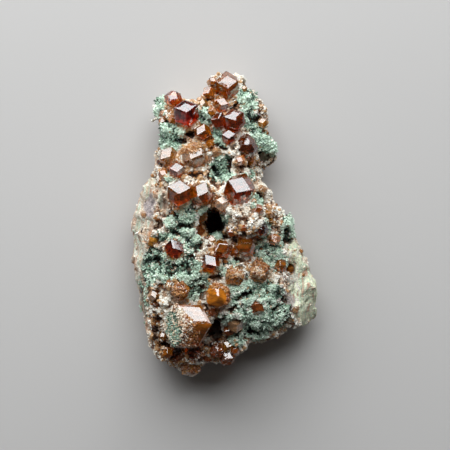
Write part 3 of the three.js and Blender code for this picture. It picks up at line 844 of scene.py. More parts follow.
DIOPSIDE = GrainFinish(
    "diopside",
    "diopside",
    (
        (0.008, 0.016, 0.010), (0.04, 0.075, 0.05), (0.17, 0.27, 0.19), (0.38, 0.53, 0.40),
        (0.68, 0.80, 0.66),
    ),
    gloss=0.18,
)
PALE_GROSSULAR = GrainFinish(
    "pale_grossular",
    "rock",
    (
        (0.13, 0.05, 0.02), (0.45, 0.22, 0.11), (0.66, 0.46, 0.31), (0.77, 0.66, 0.52),
        (0.88, 0.83, 0.74),
    ),
    gloss=0.25,
)
BROWN_GROSSULAR = GrainFinish(
    "brown_grossular",
    "garnet",
    (
        (0.05, 0.012, 0.004), (0.20, 0.05, 0.012), (0.42, 0.13, 0.03), (0.62, 0.27, 0.08),
        (0.76, 0.44, 0.21),
    ),
    gloss=0.08,
    clear=0.35,
    refraction=1.74,
)


class Hue(Enum):
    """Colour of a garnet: the light that 8 mm of it lets through, in red, green and blue."""

    DEEP_RED = (0.76, 0.11, 0.004)
    RED_BROWN = (0.70, 0.18, 0.010)
    ORANGE = (0.86, 0.29, 0.016)
    AMBER = (0.94, 0.41, 0.05)
    BROWN = (0.72, 0.21, 0.03)
    PALE = (0.92, 0.52, 0.24)


@dataclass(frozen=True)
class GarnetFinish:
    """Clear garnet with plain transmission, index of refraction and absorption values."""

    hue: Hue
    frost: float = 0.03  # roughness of the faces
    clear: float = 1.0
    refraction: float = 1.74
    polish: float = 2.5  # index of refraction of the bright skin on the faces
    skin: float = 0.4  # how much of that skin shows
    cloud: float = 0.34  # how light a cloudy garnet's clouds are, as a share of its body
    path: float = 8.0  # millimetres that the hue is given for
    glass: Colour = (1.0, 0.76, 0.60)  # tint of a wholly clear body
    power: Triple = (0.9, 1.08, 1.0)  # what the hue is raised to in a cloudy body
    veil: Pair = (0.8, 4)  # width in millimetres and detail of the clouds
    veil_stretch: Triple = (2.4, 1.0, 1.2)  # how much longer the clouds are along each axis
    wear_patch: Pair = (0.8, 3)  # the same for the patches of wear
    worn: Pair = (0.35, 0.75)  # between which values of that pattern the wear sets in
    wear: float = 0.10  # how much rougher the worn patches are
    relief: tuple[Triple, ...] = ((0.9, 3, 0.010), (0.16, 2, 0.002))  # width, detail and depth
    density_margin: float = 1.02  # keeps every part of the absorption colour above 0

    def material(self) -> Material:
        """Builds the finish.

        Returns:
            The material.
        """
        shader = Shader(f"garnet_{self.hue.name.lower()}_{self.frost * 100:.0f}_{self.clear * 100:.0f}")
        shader.values(
            Base_Color=(*self.glass, 1),
            Transmission_Weight=self.clear,
            IOR=self.refraction,
            Coat_Weight=self.skin,
            Coat_IOR=self.polish,
            Coat_Roughness=self.frost,
        )
        if self.clear < 1:
            body = tuple(share**power for share, power in zip(self.hue.value, self.power))
            veils = shader.noise(*self.veil, Vector(self.veil_stretch))
            dim = tuple(self.cloud * part for part in body)
            shader.colour(shader.ramp(veils, (0.32, dim), (0.62, body)))
        wear = shader.noise(*self.wear_patch)
        shader.roughness(shader.span(wear, *self.worn, self.frost, self.frost + self.wear))
        for width, detail, depth in self.relief:
            shader.bump(shader.noise(width, detail), depth)
        loss = [-math.log(share) / (self.path * MM) for share in self.hue.value]
        density = max(loss) * self.density_margin
        volume = shader.tree.nodes.new("ShaderNodeVolumeAbsorption")
        volume.inputs["Color"].default_value = (*[1 - part / density for part in loss], 1)
        volume.inputs["Density"].default_value = density
        shader.join(volume, "Volume", shader.output, "Volume")
        return shader.material


# ---------------------------------------------------------------- large garnets


class Surface(Enum):
    """How a large garnet's faces grew."""

    CLEAN = "clean"
    STEPPED = "stepped"
    BANDED = "banded"
    ETCHED = "etched"


@dataclass(frozen=True)
class GarnetLook:
    """Colour and growth of one node's crystals."""

    hue: Hue
    surface: Surface = Surface.CLEAN
    frost: float = 0.03
    clear: float = 1.0


LOOKS = {
    "garnet_crown": GarnetLook(Hue.ORANGE, Surface.STEPPED, clear=0.8),
    "garnet_brown_crest": GarnetLook(Hue.ORANGE, clear=0.7),
    "garnet_great_red": GarnetLook(Hue.DEEP_RED, Surface.STEPPED),
    "garnet_streaked": GarnetLook(Hue.ORANGE, Surface.STEPPED, clear=0.8),
    "garnet_upper_middle": GarnetLook(Hue.ORANGE, clear=0.8),
    "garnet_double_face": GarnetLook(Hue.RED_BROWN, Surface.STEPPED, clear=0.9),
    "garnet_right_red": GarnetLook(Hue.RED_BROWN, Surface.STEPPED, clear=0.9),
    "garnet_left_square": GarnetLook(Hue.AMBER, frost=0.08, clear=0.75),
    "garnet_left_rhomb": GarnetLook(Hue.ORANGE, clear=0.9),
    "garnet_frosted_crown": GarnetLook(Hue.AMBER, frost=0.08, clear=0.75),
    "garnet_pair_left": GarnetLook(Hue.AMBER, Surface.STEPPED, clear=0.9),
    "garnet_hollow_upper": GarnetLook(Hue.ORANGE, clear=0.8),
    "garnet_hollow_lower": GarnetLook(Hue.BROWN, clear=0.7),
    "garnet_ring": GarnetLook(Hue.PALE, clear=0.6),
    "garnet_pale_face": GarnetLook(Hue.AMBER, clear=0.95),
    "garnet_blade": GarnetLook(Hue.ORANGE),
    "garnet_bar_top": GarnetLook(Hue.ORANGE, Surface.BANDED, clear=0.8),
    "garnet_bar_partner": GarnetLook(Hue.ORANGE, clear=0.8),
    "garnet_right_small": GarnetLook(Hue.ORANGE, Surface.ETCHED, 0.10, 0.6),
    "garnet_right_long": GarnetLook(Hue.ORANGE, clear=0.7),
    "garnet_rosette": GarnetLook(Hue.PALE, Surface.ETCHED, 0.14, 0.45),
    "garnet_kite": GarnetLook(Hue.ORANGE),
    "garnet_ruby": GarnetLook(Hue.RED_BROWN),
    "garnet_etched_pair": GarnetLook(Hue.ORANGE, Surface.ETCHED, 0.12, 0.6),
    "garnet_round_brown": GarnetLook(Hue.ORANGE, Surface.ETCHED, 0.12, 0.6),
    "garnet_amber_block": GarnetLook(Hue.ORANGE, Surface.BANDED, 0.04, 0.3),
    "garnet_lower_brown": GarnetLook(Hue.BROWN, clear=0.7),
    "garnet_great_block": GarnetLook(Hue.ORANGE, Surface.STEPPED, clear=0.75),
    "garnet_hole_rim": GarnetLook(Hue.PALE, clear=0.6),
    "garnet_lower_edge": GarnetLook(Hue.BROWN, Surface.ETCHED, 0.10, 0.7),
    "garnet_smoky_tip": GarnetLook(Hue.AMBER, Surface.ETCHED, 0.14, 0.5),
}


@dataclass
class LargeGarnets:
    """Every large garnet: the frame's crystals with worn edges, growth steps and a clear body."""

    edge: float = 0.07  # width of the worn edges
    crease: float = 20.0  # degrees; sharper edges are worn
    weld: float = 0.001  # vertices closer than this are one
    flat_angle: float = 0.6  # degrees; facets closer than this are one face
    steps: tuple[tuple[Surface, int], ...] = ((Surface.STEPPED, 2), (Surface.BANDED, 3))
    step_width: float = 0.34  # breadth of the ledge round a face's raised middle
    step_height: float = 0.045
    step_room: float = 2.5  # a face is stepped where a circle of this many ledges' radius fits in
    sharp_corner: float = 38.0  # degrees; a face with a sharper corner isn't stepped
    etch_rounds: int = 3  # how many times the edges are split for the etch hills
    etch_grid: float = 0.4  # longer edges are split
    etch_depth: float = 0.16
    etch_blocks: Layer = (0.9, SEED, 0.5)
    etch_swell: Pair = (0.7, 0.6)  # width and height
    etch_sink: float = 0.4  # how much of a hill lies under the old face

    def build(self) -> list[Piece]:
        """Makes one piece for each node.

        Returns:
            The dressed pieces.
        """
        pieces = []
        finishes: dict[tuple[Hue, float, float], Material] = {}
        for node, look in LOOKS.items():
            key = (look.hue, look.frost, look.clear)
            if key not in finishes:
                finishes[key] = GarnetFinish(*key).material()
            piece = add_object(f"{node}_crystal", self.crystal(node, look))
            dress(piece, finishes[key])
            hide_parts(node)
            pieces.append(piece)
        return pieces

    def crystal(self, node: str, look: GarnetLook) -> Mesh:
        """The detailed mesh of one node's crystals.

        Args:
            node: the node's name.
            look: its colour and growth.

        Returns:
            The closed mesh.
        """
        form = bmesh.new()
        form.from_mesh(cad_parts[node].data)
        bmesh.ops.remove_doubles(form, verts=form.verts, dist=self.weld * MM)
        bmesh.ops.dissolve_limit(
            form,
            angle_limit=math.radians(self.flat_angle),
            verts=form.verts,
            edges=form.edges,
        )
        self.add_steps(form, dict(self.steps).get(look.surface, 0))
        crease = math.radians(self.crease)
        bmesh.ops.bevel(
            form,
            geom=[edge for edge in form.edges if edge.calc_face_angle(0) > crease],
            offset=self.edge * MM,
            segments=1,
            affect="EDGES",
            clamp_overlap=True,
        )
        bmesh.ops.triangulate(form, faces=form.faces)
        mesh = finished(form, node)
        if look.surface is Surface.ETCHED:
            self.etch(mesh)
        set_vertices(mesh, vertices_of(mesh))
        return mesh

    def add_steps(self, form: bmesh.types.BMesh, count: int) -> None:
        """Raises the middle of each face in low steps.

        Args:
            form: the crystal.
            count: how many steps each face gets.
        """
        room = self.step_room * self.step_width * MM
        for _ in range(count):
            faces = [face for face in form.faces if self.inner_reach(face) > room]
            bmesh.ops.inset_individual(
                form,
                faces=faces,
                thickness=self.step_width * MM,
                depth=self.step_height * MM,
                use_even_offset=True,
            )

    def inner_reach(self, face: bmesh.types.BMFace) -> float:
        """Measures how much room a face has.

        Args:
            face: the face.

        Returns:
            About the radius of the largest circle that fits in it, or 0 where a corner is sharp.
        """
        if min(loop.calc_angle() for loop in face.loops) < math.radians(self.sharp_corner):
            return 0.0
        return 2 * face.calc_area() / face.calc_perimeter()

    def etch(self, mesh: Mesh) -> None:
        """Covers a crystal with small, irregular etch hills.

        Args:
            mesh: the crystal's mesh, changed in place.
        """
        form = bmesh.new()
        form.from_mesh(mesh)
        for _ in range(self.etch_rounds):
            long_edges = [edge for edge in form.edges if edge.calc_length() > self.etch_grid * MM]
            bmesh.ops.subdivide_edges(form, edges=long_edges, cuts=1, use_grid_fill=False)
            bmesh.ops.triangulate(form, faces=form.faces)
        form.to_mesh(mesh)
        form.free()
        points, normals = vertices_of(mesh), normals_of(mesh)
        width, height = self.etch_swell
        hills = block_relief(points, *self.etch_blocks) + height * rough_noise(points, width, SEED)
        rise = self.etch_depth * (hills - self.etch_sink)
        set_vertices(mesh, points + normals * rise[:, None])


@dataclass
class CrystalGuard:
    """Tells how far places lie from the large garnets, so that other pieces can respect them."""

    reach: float = 2.0  # a place farther from a crystal's box than this counts as far away
    tree: BVHTree = field(init=False)
    boxes: list[tuple[np.ndarray, np.ndarray]] = field(init=False)

    def __post_init__(self) -> None:
        """Gathers every garnet node's faces."""
        corners: list[Vector] = []
        faces: list[tuple[int, ...]] = []
        self.boxes = []
        for node in LOOKS:
            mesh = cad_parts[node].data
            start = len(corners)
            corners.extend(Vector(v.co) / MM for v in mesh.vertices)
            faces.extend(tuple(start + i for i in face.vertices) for face in mesh.polygons)
            low, high = (np.array(corner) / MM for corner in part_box(node))
            self.boxes.append((low - self.reach, high + self.reach))
        self.tree = BVHTree.FromPolygons(corners, faces)

    def clearance(self, points: np.ndarray) -> tuple[np.ndarray, np.ndarray]:
        """Distances to the nearest crystal.

        Args:
            points: places in millimetres.

        Returns:
            The distance for each place, negative inside a crystal and infinite when far away, and
            the nearest place on a crystal's faces.
        """
        near = np.zeros(len(points), dtype=bool)
        for low, high in self.boxes:
            near |= np.all((points > low) & (points < high), axis=1)
        distance = np.full(len(points), np.inf)
        contact = points.copy()
        for index in np.flatnonzero(near):
            place = Vector(points[index])
            spot, normal, _, away = self.tree.find_nearest(place)
            distance[index] = away if (place - spot).dot(normal) >= 0 else -away
            contact[index] = spot
        return distance, contact


# ---------------------------------------------------------------- rock


@dataclass(frozen=True)
class Hollow:
    """A dark hollow in the rock: the middle and the half-sizes of a bumpy oval."""

    x: float
    y: float
    z: float
    half_x: float
    half_y: float
    half_z: float
    bump_width: float = 0.45  # as a share of the oval's half-size
    bump_height: float = 0.55
    fineness: int = 4  # how many times the oval's faces are split

    def cutter(self) -> Piece:
        """Builds the oval that is cut away.

        Returns:
            Its object.
        """
        form = bmesh.new()
        bmesh.ops.create_icosphere(form, subdivisions=self.fineness, radius=1)
        mesh = finished(form, "hollow")
        ball = rows_of(mesh, "co")
        bumps = 1 + self.bump_height * rough_noise(ball, self.bump_width, SEED + round(self.x))
        points = ball * bumps[:, None] * (self.half_x, self.half_y, self.half_z)
        points += SHIFT + (self.x, self.y, self.z)
        mesh.vertices.foreach_set("co", (points * MM).astype(np.float32).ravel())
        return add_object("hollow", mesh)


@dataclass
class MatrixRock:
    """The lump of rock: the frame's broken block, remeshed finely and roughened."""

    guard: CrystalGuard
    minerals: MineralMap
    voxel: float = 0.36
    smoothing: int = 2  # how many times the remeshed surface is evened out
    inset: float = 0.28  # the grains that grow on the rock make this up
    free: Pair = (0.5, 1.6)  # from a crystal: where the relief starts and is full
    base: float = 1.6  # below this height the relief fades
    base_relief: float = 0.25  # what is left of it on the resting face
    base_hollow: Layer = (3.2, SEED + 9, 0.35)  # the resting face's shallow hollows
    blocks: tuple[LongLayer, ...] = (  # the fourth number is the groove
        (3.1, SEED + 40, 0.50, 0.10), (1.35, SEED + 60, 0.38, 0.12),
    )
    grit: Layer = (0.7, SEED + 7, 0.16)
    mounds: tuple[LongLayer, ...] = (  # the fourth number is the share that lies under the surface
        (2.5, SEED + 80, 1.5, 0.60), (1.15, SEED + 90, 0.7, 0.5),
    )
    contact: float = 0.55  # a pocket's wall this close to its crystal is drawn onto it
    sink: float = 0.05  # how far inside the crystal that wall then lies
    cleft: float = 1.5  # depth of the dark clefts
    evenness: float = 0.8  # how much of the relief is missing where the rock is massive
    even_rind: float = 0.8  # how massive the banded rock of the flanks is
    streaks: Layer = (0.9, SEED + 31, 0.30)
    streak_stretch: Triple = (1.0, 0.3, 0.7)
    crest_scales: tuple[tuple[int, float], ...] = ((8, 0.20), (50, 0.55))  # rounds and full height
    hollows: tuple[Hollow, ...] = (
        Hollow(-2.3, 0.4, 17.0, 1.6, 2.8, 6.5),
        Hollow(-0.9, 2.5, 17.0, 1.0, 0.9, 3.0),
        Hollow(-3.9, -1.9, 17.0, 1.2, 0.9, 3.5),
        Hollow(-4.6, 3.4, 17.5, 1.2, 1.3, 4.5),
        Hollow(-0.6, -2.6, 17.0, 1.3, 1.0, 3.5),
        Hollow(-2.8, -26.6, 17.0, 1.2, 2.4, 8.0),
        Hollow(-4.0, -29.4, 16.0, 1.0, 1.3, 5.0),
        Hollow(9.7, 17.2, 11.0, 1.3, 1.1, 4.5),
        Hollow(16.6, -26.2, 10.5, 1.2, 0.8, 3.0),
    )

    def build(self) -> Piece:
        """Makes the rock and dresses it.

        Returns:
            The rock's piece.
        """
        piece = add_object("matrix_rock_surface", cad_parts["matrix_rock"].data.copy())
        self.cut_hollows(piece)
        remesh = piece.modifiers.new("fine", "REMESH")
        remesh.mode = "VOXEL"
        remesh.voxel_size = self.voxel * MM
        settle_modifiers(piece)
        mesh = piece.data
        self.soften(mesh)
        self.roughen(mesh)
        self.paint(mesh)
        mesh.shade_smooth()
        dress(piece, RockFinish().material())
        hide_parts("matrix_rock")
        return piece

    def cut_hollows(self, piece: Piece) -> None:
        """Cuts the dark hollows out of the rock.

        Args:
            piece: the rock, changed in place.
        """
        for hollow in self.hollows:
            cutter = hollow.cutter()
            cut = piece.modifiers.new("hollow", "BOOLEAN")
            cut.operation = "DIFFERENCE"
            cut.solver = "EXACT"
            cut.object = cutter
            settle_modifiers(piece)
            bpy.data.objects.remove(cutter)

    def soften(self, mesh: Mesh) -> None:
        """Rounds off the remeshed surface a little.

        Args:
            mesh: the rock's mesh, changed in place.
        """
        form = bmesh.new()
        form.from_mesh(mesh)
        for _ in range(self.smoothing):
            bmesh.ops.smooth_vert(
                form, verts=form.verts, factor=0.5, use_axis_x=True, use_axis_y=True, use_axis_z=True
            )
        form.to_mesh(mesh)
        form.free()

    def roughen(self, mesh: Mesh) -> None:
        """Breaks the surface into blocks and mounds, and draws it onto the crystals.

        Args:
            mesh: the rock's mesh, changed in place.
        """
        points, normals = vertices_of(mesh), normals_of(mesh)
        distance, contact = self.guard.clearance(points)
        free = smoothstep(*self.free, distance)
        base = smoothstep(0.0, self.base, points[:, 2])
        width, seed, depth = self.grit
        broken = sum(block_relief(points, *layer) for layer in self.blocks)
        broken += depth * rough_noise(points, width, seed, 2)
        cover = self.minerals.weights(points, normals)
        massive = self.massive(cover)
        width, seed, depth = self.streaks
        streaks = rough_noise(points * self.streak_stretch, width, seed, 3)
        broken = broken * (1 - self.evenness * massive) + depth * streaks * massive
        mounds = sum(
            height * (dome_relief(points, size, seed) - sunk) for size, seed, height, sunk in self.mounds
        )
        green = np.minimum(cover[Mineral.DIOPSIDE], 1)
        clefts = self.cleft * np.minimum(cover[Mineral.SHADE], 1)
        relief = broken * (1 - green) + mounds * green - clefts
        fade = self.base_relief + (1 - self.base_relief) * base
        moved = points + normals * ((relief - self.inset) * free * fade)[:, None]
        touching = distance < self.contact
        inward = unit(contact[touching] - points[touching])
        inward[distance[touching] < 0] *= -1
        moved[touching] = contact[touching] + inward * self.sink
        width, seed, depth = self.base_hollow
        moved[:, 2] += depth * np.maximum(rough_noise(points, width, seed), 0) * (1 - base)
        set_vertices(mesh, moved)
        set_attribute(mesh, POCKET, touching)

    def paint(self, mesh: Mesh) -> None:
        """Stores each mineral's cover in the mesh, the painted shade's too, and where its clefts and
        edges are.

        Args:
            mesh: the rock's mesh.
        """
        points, normals = vertices_of(mesh), normals_of(mesh)
        cover = self.minerals.weights(points, normals)
        for mineral, values in cover.items():
            set_attribute(mesh, mineral.value, values)
        crest = np.zeros(len(points))
        for rounds, height in self.crest_scales:
            rise = np.sum((points - self.evened(mesh, points, rounds)) * normals, axis=1)
            crest += np.clip(rise / height, -1, 1) / len(self.crest_scales)
        set_attribute(mesh, CREST, crest * (1 - self.evenness * self.massive(cover)))

    def massive(self, cover: dict[Mineral, np.ndarray]) -> np.ndarray:
        """How massive the rock is at each place, from 0 to 1.

        Args:
            cover: each mineral's cover there.

        Returns:
            One value for each place.
        """
        return np.clip(cover[Mineral.PALE_GREEN] + self.even_rind * cover[Mineral.RIND], 0, 1)

    @staticmethod
    def evened(mesh: Mesh, points: np.ndarray, rounds: int) -> np.ndarray:
        """The surface with its relief evened out.

        Args:
            mesh: the mesh that the points belong to.
            points: its vertices in millimetres.
            rounds: how many times each vertex moves to the middle of its neighbours.

        Returns:
            The moved vertices.
        """
        pairs = np.empty(len(mesh.edges) * 2, dtype=np.int32)
        mesh.edges.foreach_get("vertices", pairs)
        first, second = pairs.reshape(-1, 2).T
        ends, others = np.concatenate([first, second]), np.concatenate([second, first])
        count = np.maximum(np.bincount(ends, minlength=len(points)), 1)
        for _ in range(rounds):
            sums = [
                np.bincount(ends, weights=column[others], minlength=len(points))
                for column in points.T
            ]
            points = np.stack(sums, axis=1) / count[:, None]
        return points


# ---------------------------------------------------------------- grains


class Form(Enum):
    """The shape of a small crystal."""

    PRISM = "prism"
    BLOCK = "block"
    GARNET = "garnet"


PRISM_SLANT = (0.35, 0.12)  # how steeply a prism's end rises along its two sides
PRISM_TAPER = 0.82  # width of that end, as a share of the root's
BLOCK_SIZE = 0.62  # from a block's middle to its corners
BLOCK_RISE = 0.15  # how far a block's middle stands over the ground
GARNET_SIZE = 0.3  # half-width of the cube that a dodecahedron is built on
CUBE = np.array(list(product((-1.0, 1.0), repeat=3)))
CUBE_SIDES = np.array(
    [(0, 1, 3, 2), (4, 6, 7, 5), (0, 4, 5, 1), (2, 3, 7, 6), (0, 2, 6, 4), (1, 5, 7, 3)]
)


def form_shape(form: Form) -> tuple[np.ndarray, np.ndarray]:
    """The corners and faces of one small crystal, about 1 across.

    Args:
        form: which crystal.

    Returns:
        Its corners, one row each, and its four-sided faces, which face out.
    """
    if form is Form.PRISM:
        corners = CUBE * 0.5 + (0, 0, 0.5)
        top = corners[:, 2] > 0.5
        corners[top, 2] += corners[top, :2] @ PRISM_SLANT
        corners[top, :2] *= PRISM_TAPER
        return corners, CUBE_SIDES
    if form is Form.BLOCK:
        return unit(CUBE) * BLOCK_SIZE + (0, 0, BLOCK_RISE), CUBE_SIDES
    return dodecahedron()


def dodecahedron() -> tuple[np.ndarray, np.ndarray]:
    """A rhombic dodecahedron: a cube with a low pyramid on each side.

    Returns:
        Its corners, one row each, and its four-sided faces, which face out.
    """
    ends = np.concatenate([np.eye(3), -np.eye(3)]) * 2
    corners = np.concatenate([CUBE, ends]) * GARNET_SIZE
    faces = []
    for first, second in ((0, 1), (1, 2), (0, 2)):
        third = 3 - first - second
        for a, b in product((-1, 1), repeat=2):
            peaks = [len(CUBE) + first + 3 * (a < 0), len(CUBE) + second + 3 * (b < 0)]
            shared = [
                index for index, corner in enumerate(CUBE)
                if corner[first] == a and corner[second] == b
            ]
            shared.sort(key=lambda index: CUBE[index][third])
            ring = [peaks[0], shared[0], peaks[1], shared[1]]
            out = np.cross(corners[ring[1]] - corners[ring[0]], corners[ring[2]] - corners[ring[1]])
            if out @ corners[ring].mean(axis=0) < 0:
                ring.reverse()
            faces.append(ring)
    return corners, np.array(faces)


@dataclass(frozen=True)
class Seats:
    """Places on a surface where small crystals can grow."""

    points: np.ndarray
    normals: np.ndarray
    crest: np.ndarray

    @classmethod
    def scatter(cls, mesh: Mesh, count: int, random: np.random.Generator) -> "Seats":
        """Scatters places evenly over a mesh.

        Args:
            mesh: the ground.
            count: how many places.
            random: the source of chance.

        Returns:
            The places, without those on the underside.
        """
        mesh.calc_loop_triangles()
        trios = np.empty(len(mesh.loop_triangles) * 3, dtype=np.int32)
        mesh.loop_triangles.foreach_get("vertices", trios)
        trios = trios.reshape(-1, 3)
        corners = vertices_of(mesh)[trios]
        flat = np.cross(corners[:, 1] - corners[:, 0], corners[:, 2] - corners[:, 0])
        area = np.linalg.norm(flat, axis=1)
        area[(flat[:, 2] < 0) & (corners[:, :, 2].mean(axis=1) < UNDERSIDE)] = 0
        chosen = random.choice(len(area), size=count, p=area / area.sum())
        mix = random.dirichlet((1, 1, 1), count)
        crest = np.zeros(len(mesh.vertices), dtype=np.float32)
        if CREST in mesh.attributes:
            mesh.attributes[CREST].data.foreach_get("value", crest)
        return cls(
            np.einsum("nk,nkj->nj", mix, corners[chosen]),
            unit(flat[chosen]),
            np.sum(crest[trios[chosen]] * mix, axis=1),
        )

    def keep(self, chosen: np.ndarray) -> "Seats":
        """The chosen places alone."""
        return Seats(self.points[chosen], self.normals[chosen], self.crest[chosen])


@dataclass(frozen=True)
class Grain:
    """The shapes of one kind of small crystal, and how they stand."""

    form: Form
    width: Pair  # least and greatest
    length: Pair  # as shares of the width
    lean: float  # how unevenly they lean from the surface's normal
    sink: float  # how deep they are rooted, as a share of their length
    cluster: int = 1  # how many grow in one tuft
    spread: float = 0.25  # how wide a tuft's root is
    wonky: float = 0.07  # how far their corners stray
    slimness: Pair = (0.6, 1.0)  # how slim a crystal, and one side of it, may be
    flare: float = 0.66  # how far the crystals of a tuft lean apart

    def tufts(self, seats: Seats, random: np.random.Generator) -> Seats:
        """Turns each place into a tuft of places whose crystals lean apart.

        Args:
            seats: the places.
            random: the source of chance.

        Returns:
            The tufts' places.
        """
        if self.cluster == 1:
            return seats
        points = np.repeat(seats.points, self.cluster, axis=0)
        normals = np.repeat(seats.normals, self.cluster, axis=0)
        aside = random.normal(0, self.spread, points.shape)
        aside -= normals * np.sum(aside * normals, axis=1, keepdims=True)
        leaning = unit(normals + self.flare / self.spread * aside)
        return Seats(points + aside, leaning, np.repeat(seats.crest, self.cluster))

    def mesh(self, name: str, seats: Seats, random: np.random.Generator, tone: np.ndarray) -> Mesh:
        """Joins one crystal at each seat in one mesh.

        Args:
            name: the mesh's name.
            seats: where the crystals stand.
            random: the source of chance.
            tone: how light each crystal is.

        Returns:
            The mesh.
        """
        corners, faces = form_shape(self.form)
        many, size = len(seats.points), len(corners)
        width = random.uniform(*self.width, many) * random.uniform(*self.slimness, many)
        length = width * random.uniform(*self.length, many)
        up = unit(seats.normals + random.normal(0, self.lean, seats.normals.shape))
        side = unit(np.cross(up, random.normal(0, 1, up.shape)))
        turns = np.stack([side, np.cross(up, side), up], axis=2)
        shape = corners[None] + random.normal(0, self.wonky, (many, size, 3))
        depth = width * random.uniform(*self.slimness, many)
        shape *= np.stack([width, depth, length], axis=1)[:, None]
        rooted = seats.points - seats.normals * (length * self.sink)[:, None]
        placed = np.einsum("nij,nkj->nki", turns, shape) + rooted[:, None]
        mesh = bpy.data.meshes.new(name)
        quads = (faces[None] + size * np.arange(many)[:, None, None]).reshape(-1, 4)
        mesh.from_pydata(np.zeros((many * size, 3)), [], quads.tolist())
        set_vertices(mesh, placed.reshape(-1, 3))
        set_attribute(mesh, TONE, np.repeat(tone, size))
        return mesh


@dataclass(frozen=True)
class Crust:
    """Thousands of small crystals of one mineral on the rock, joined in one mesh."""

    name: str
    mineral: Mineral
    grain: Grain
    finish: GrainFinish
    count: int
    seed: int
    part: Pair = (-FAR, FAR)  # stretch along Y that this piece covers
    stray: float = 0.0  # how readily they grow outside the mineral's patches
    shyness: float = 0.55  # how much other minerals keep them away
    bright: float = 0.42  # tone of the middle crystals
    relief_tone: float = 0.75  # painted shade and painted light: how much darker they are in clefts and lighter on edges
    shade_tone: float = 0.4  # how much darker they are where little light falls
    patchiness: Pair = (2.4, 0.22)  # width and strength of the lighter patches
    own_tone: float = 0.22  # how far each crystal's tone strays
    bareness: tuple[tuple[Mineral, float], ...] = (  # how strongly grains avoid massive rock
        (Mineral.PALE_GREEN, 3.9),
        (Mineral.RIND, 3.0),
        (Mineral.LILAC, 1.5),
    )
    rarity: float = 0.05  # how rare they are where nothing grows
    shade_thinning: float = 0.65
    massive_thinning: float = 0.85
    cleft_thinning: float = 0.7
    cleft: Pair = (0.2, 0.8)  # from the first shallow clefts to the deepest
    bald_width: float = 1.3
    bald: Pair = (-0.5, 0.1)  # between these values of a noise the bald spots end
    bald_share: float = 0.3  # how many grow on a bald spot

    def build(self, rock: Piece, guard: CrystalGuard, minerals: MineralMap) -> Piece:
        """Grows the crystals.

        Args:
            rock: the rock's piece.
            guard: keeps them off the large garnets.
            minerals: says where they grow.

        Returns:
            The dressed piece.
        """
        random = np.random.default_rng(self.seed)
        seats = self.seats(rock.data, guard, minerals, random)
        width, strength = self.patchiness
        patchy = strength * rough_noise(seats.points, width, self.seed + 1, 2)
        shade = np.minimum(minerals.weights(seats.points, seats.normals)[Mineral.SHADE], 1)
        # Painted shade in clefts and in shaded places, painted light on edges, on top of each crystal's
        # own tone.
        tone = self.bright + self.relief_tone * seats.crest + patchy - self.shade_tone * shade
        tone += random.uniform(-self.own_tone, self.own_tone, len(tone))
        mesh = self.grain.mesh(self.name, seats, random, np.clip(tone, 0, 1))
        piece = add_object(self.name, mesh)
        dress(piece, self.finish.material())
        return piece

    def seats(
        self,
        ground: Mesh,
        guard: CrystalGuard,
        minerals: MineralMap,
        random: np.random.Generator,
    ) -> Seats:
        """Picks where the crystals stand.

        Args:
            ground: the rock's mesh.
            guard: keeps them off the large garnets.
            minerals: says where they grow.
            random: the source of chance.

        Returns:
            Their seats.
        """
        wanted_tufts = self.count // self.grain.cluster
        seats = Seats.scatter(ground, wanted_tufts * TRIES, random)
        along = seats.points[:, 1]
        seats = seats.keep((along >= self.part[0]) & (along < self.part[1]))
        share = self.share(seats, minerals.weights(seats.points, seats.normals))
        seats = seats.keep(random.uniform(0, 1, len(share)) < share)
        distance, _ = guard.clearance(seats.points)
        seats = seats.keep(distance > CRYSTAL_CLEARANCE)
        return self.grain.tufts(seats.keep(np.arange(len(seats.points)) < wanted_tufts), random)

    def share(self, seats: Seats, cover: dict[Mineral, np.ndarray]) -> np.ndarray:
        """How likely a crystal is to grow at each place.

        Args:
            seats: the places.
            cover: each mineral's cover there.

        Returns:
            One value from 0 to 1 for each place.
        """
        wanted = cover[self.mineral] + self.stray
        others = sum(cover[other] for other in Mineral if other is not self.mineral)
        bare = sum(strength * cover[mineral] for mineral, strength in self.bareness)
        share = wanted / (wanted + self.shyness * others + bare + self.rarity)
        share *= 1 - self.shade_thinning * np.minimum(cover[Mineral.SHADE], 1)
        massive = np.clip(cover[Mineral.RIND] + cover[Mineral.PALE_GREEN], 0, 1)
        share *= 1 - self.massive_thinning * massive
        spots = rough_noise(seats.points, self.bald_width, self.seed, 2)
        share *= self.bald_share + smoothstep(*self.bald, spots)
        return share * (1 - self.cleft_thinning * smoothstep(*self.cleft, -seats.crest))


NEEDLE = Grain(Form.PRISM, (0.24, 0.54), (0.9, 1.6), 0.30, 0.30, cluster=5, spread=0.30)
PALE_GRAIN = Grain(Form.BLOCK, (0.36, 0.88), (0.7, 1.2), 0.9, 0.1, wonky=0.11)
BROWN_GRAIN = Grain(Form.GARNET, (0.55, 1.5), (0.8, 1.1), 0.9, 0.0, wonky=0.04)

# The upper druse is toned darker and the lower lighter: painted shade and painted light that offset the
# key lamp lighting the upper end more.
CRUSTS = (
    Crust(
        "diopside_druse_upper", Mineral.DIOPSIDE, NEEDLE, DIOPSIDE, 15500, 101, (2.0, FAR),
        bright=0.38,
    ),
    Crust(
        "diopside_druse_lower", Mineral.DIOPSIDE, NEEDLE, DIOPSIDE, 15500, 102, (-FAR, 2.0),
        bright=0.51,
    ),
    Crust(
        "pale_grossular_upper", Mineral.CREAM, PALE_GRAIN, PALE_GROSSULAR, 10000, 103, (-2.0, FAR),
        stray=0.25, shyness=0.8, bright=0.54,
    ),
    Crust(
        "pale_grossular_lower", Mineral.CREAM, PALE_GRAIN, PALE_GROSSULAR, 10000, 104, (-FAR, -2.0),
        stray=0.16, shyness=0.8, bright=0.54,
    ),
    Crust(
        "brown_grossular_grains", Mineral.BROWN, BROWN_GRAIN, BROWN_GROSSULAR, 3200, 105,
        stray=0.02, shyness=0.8,
    ),
)


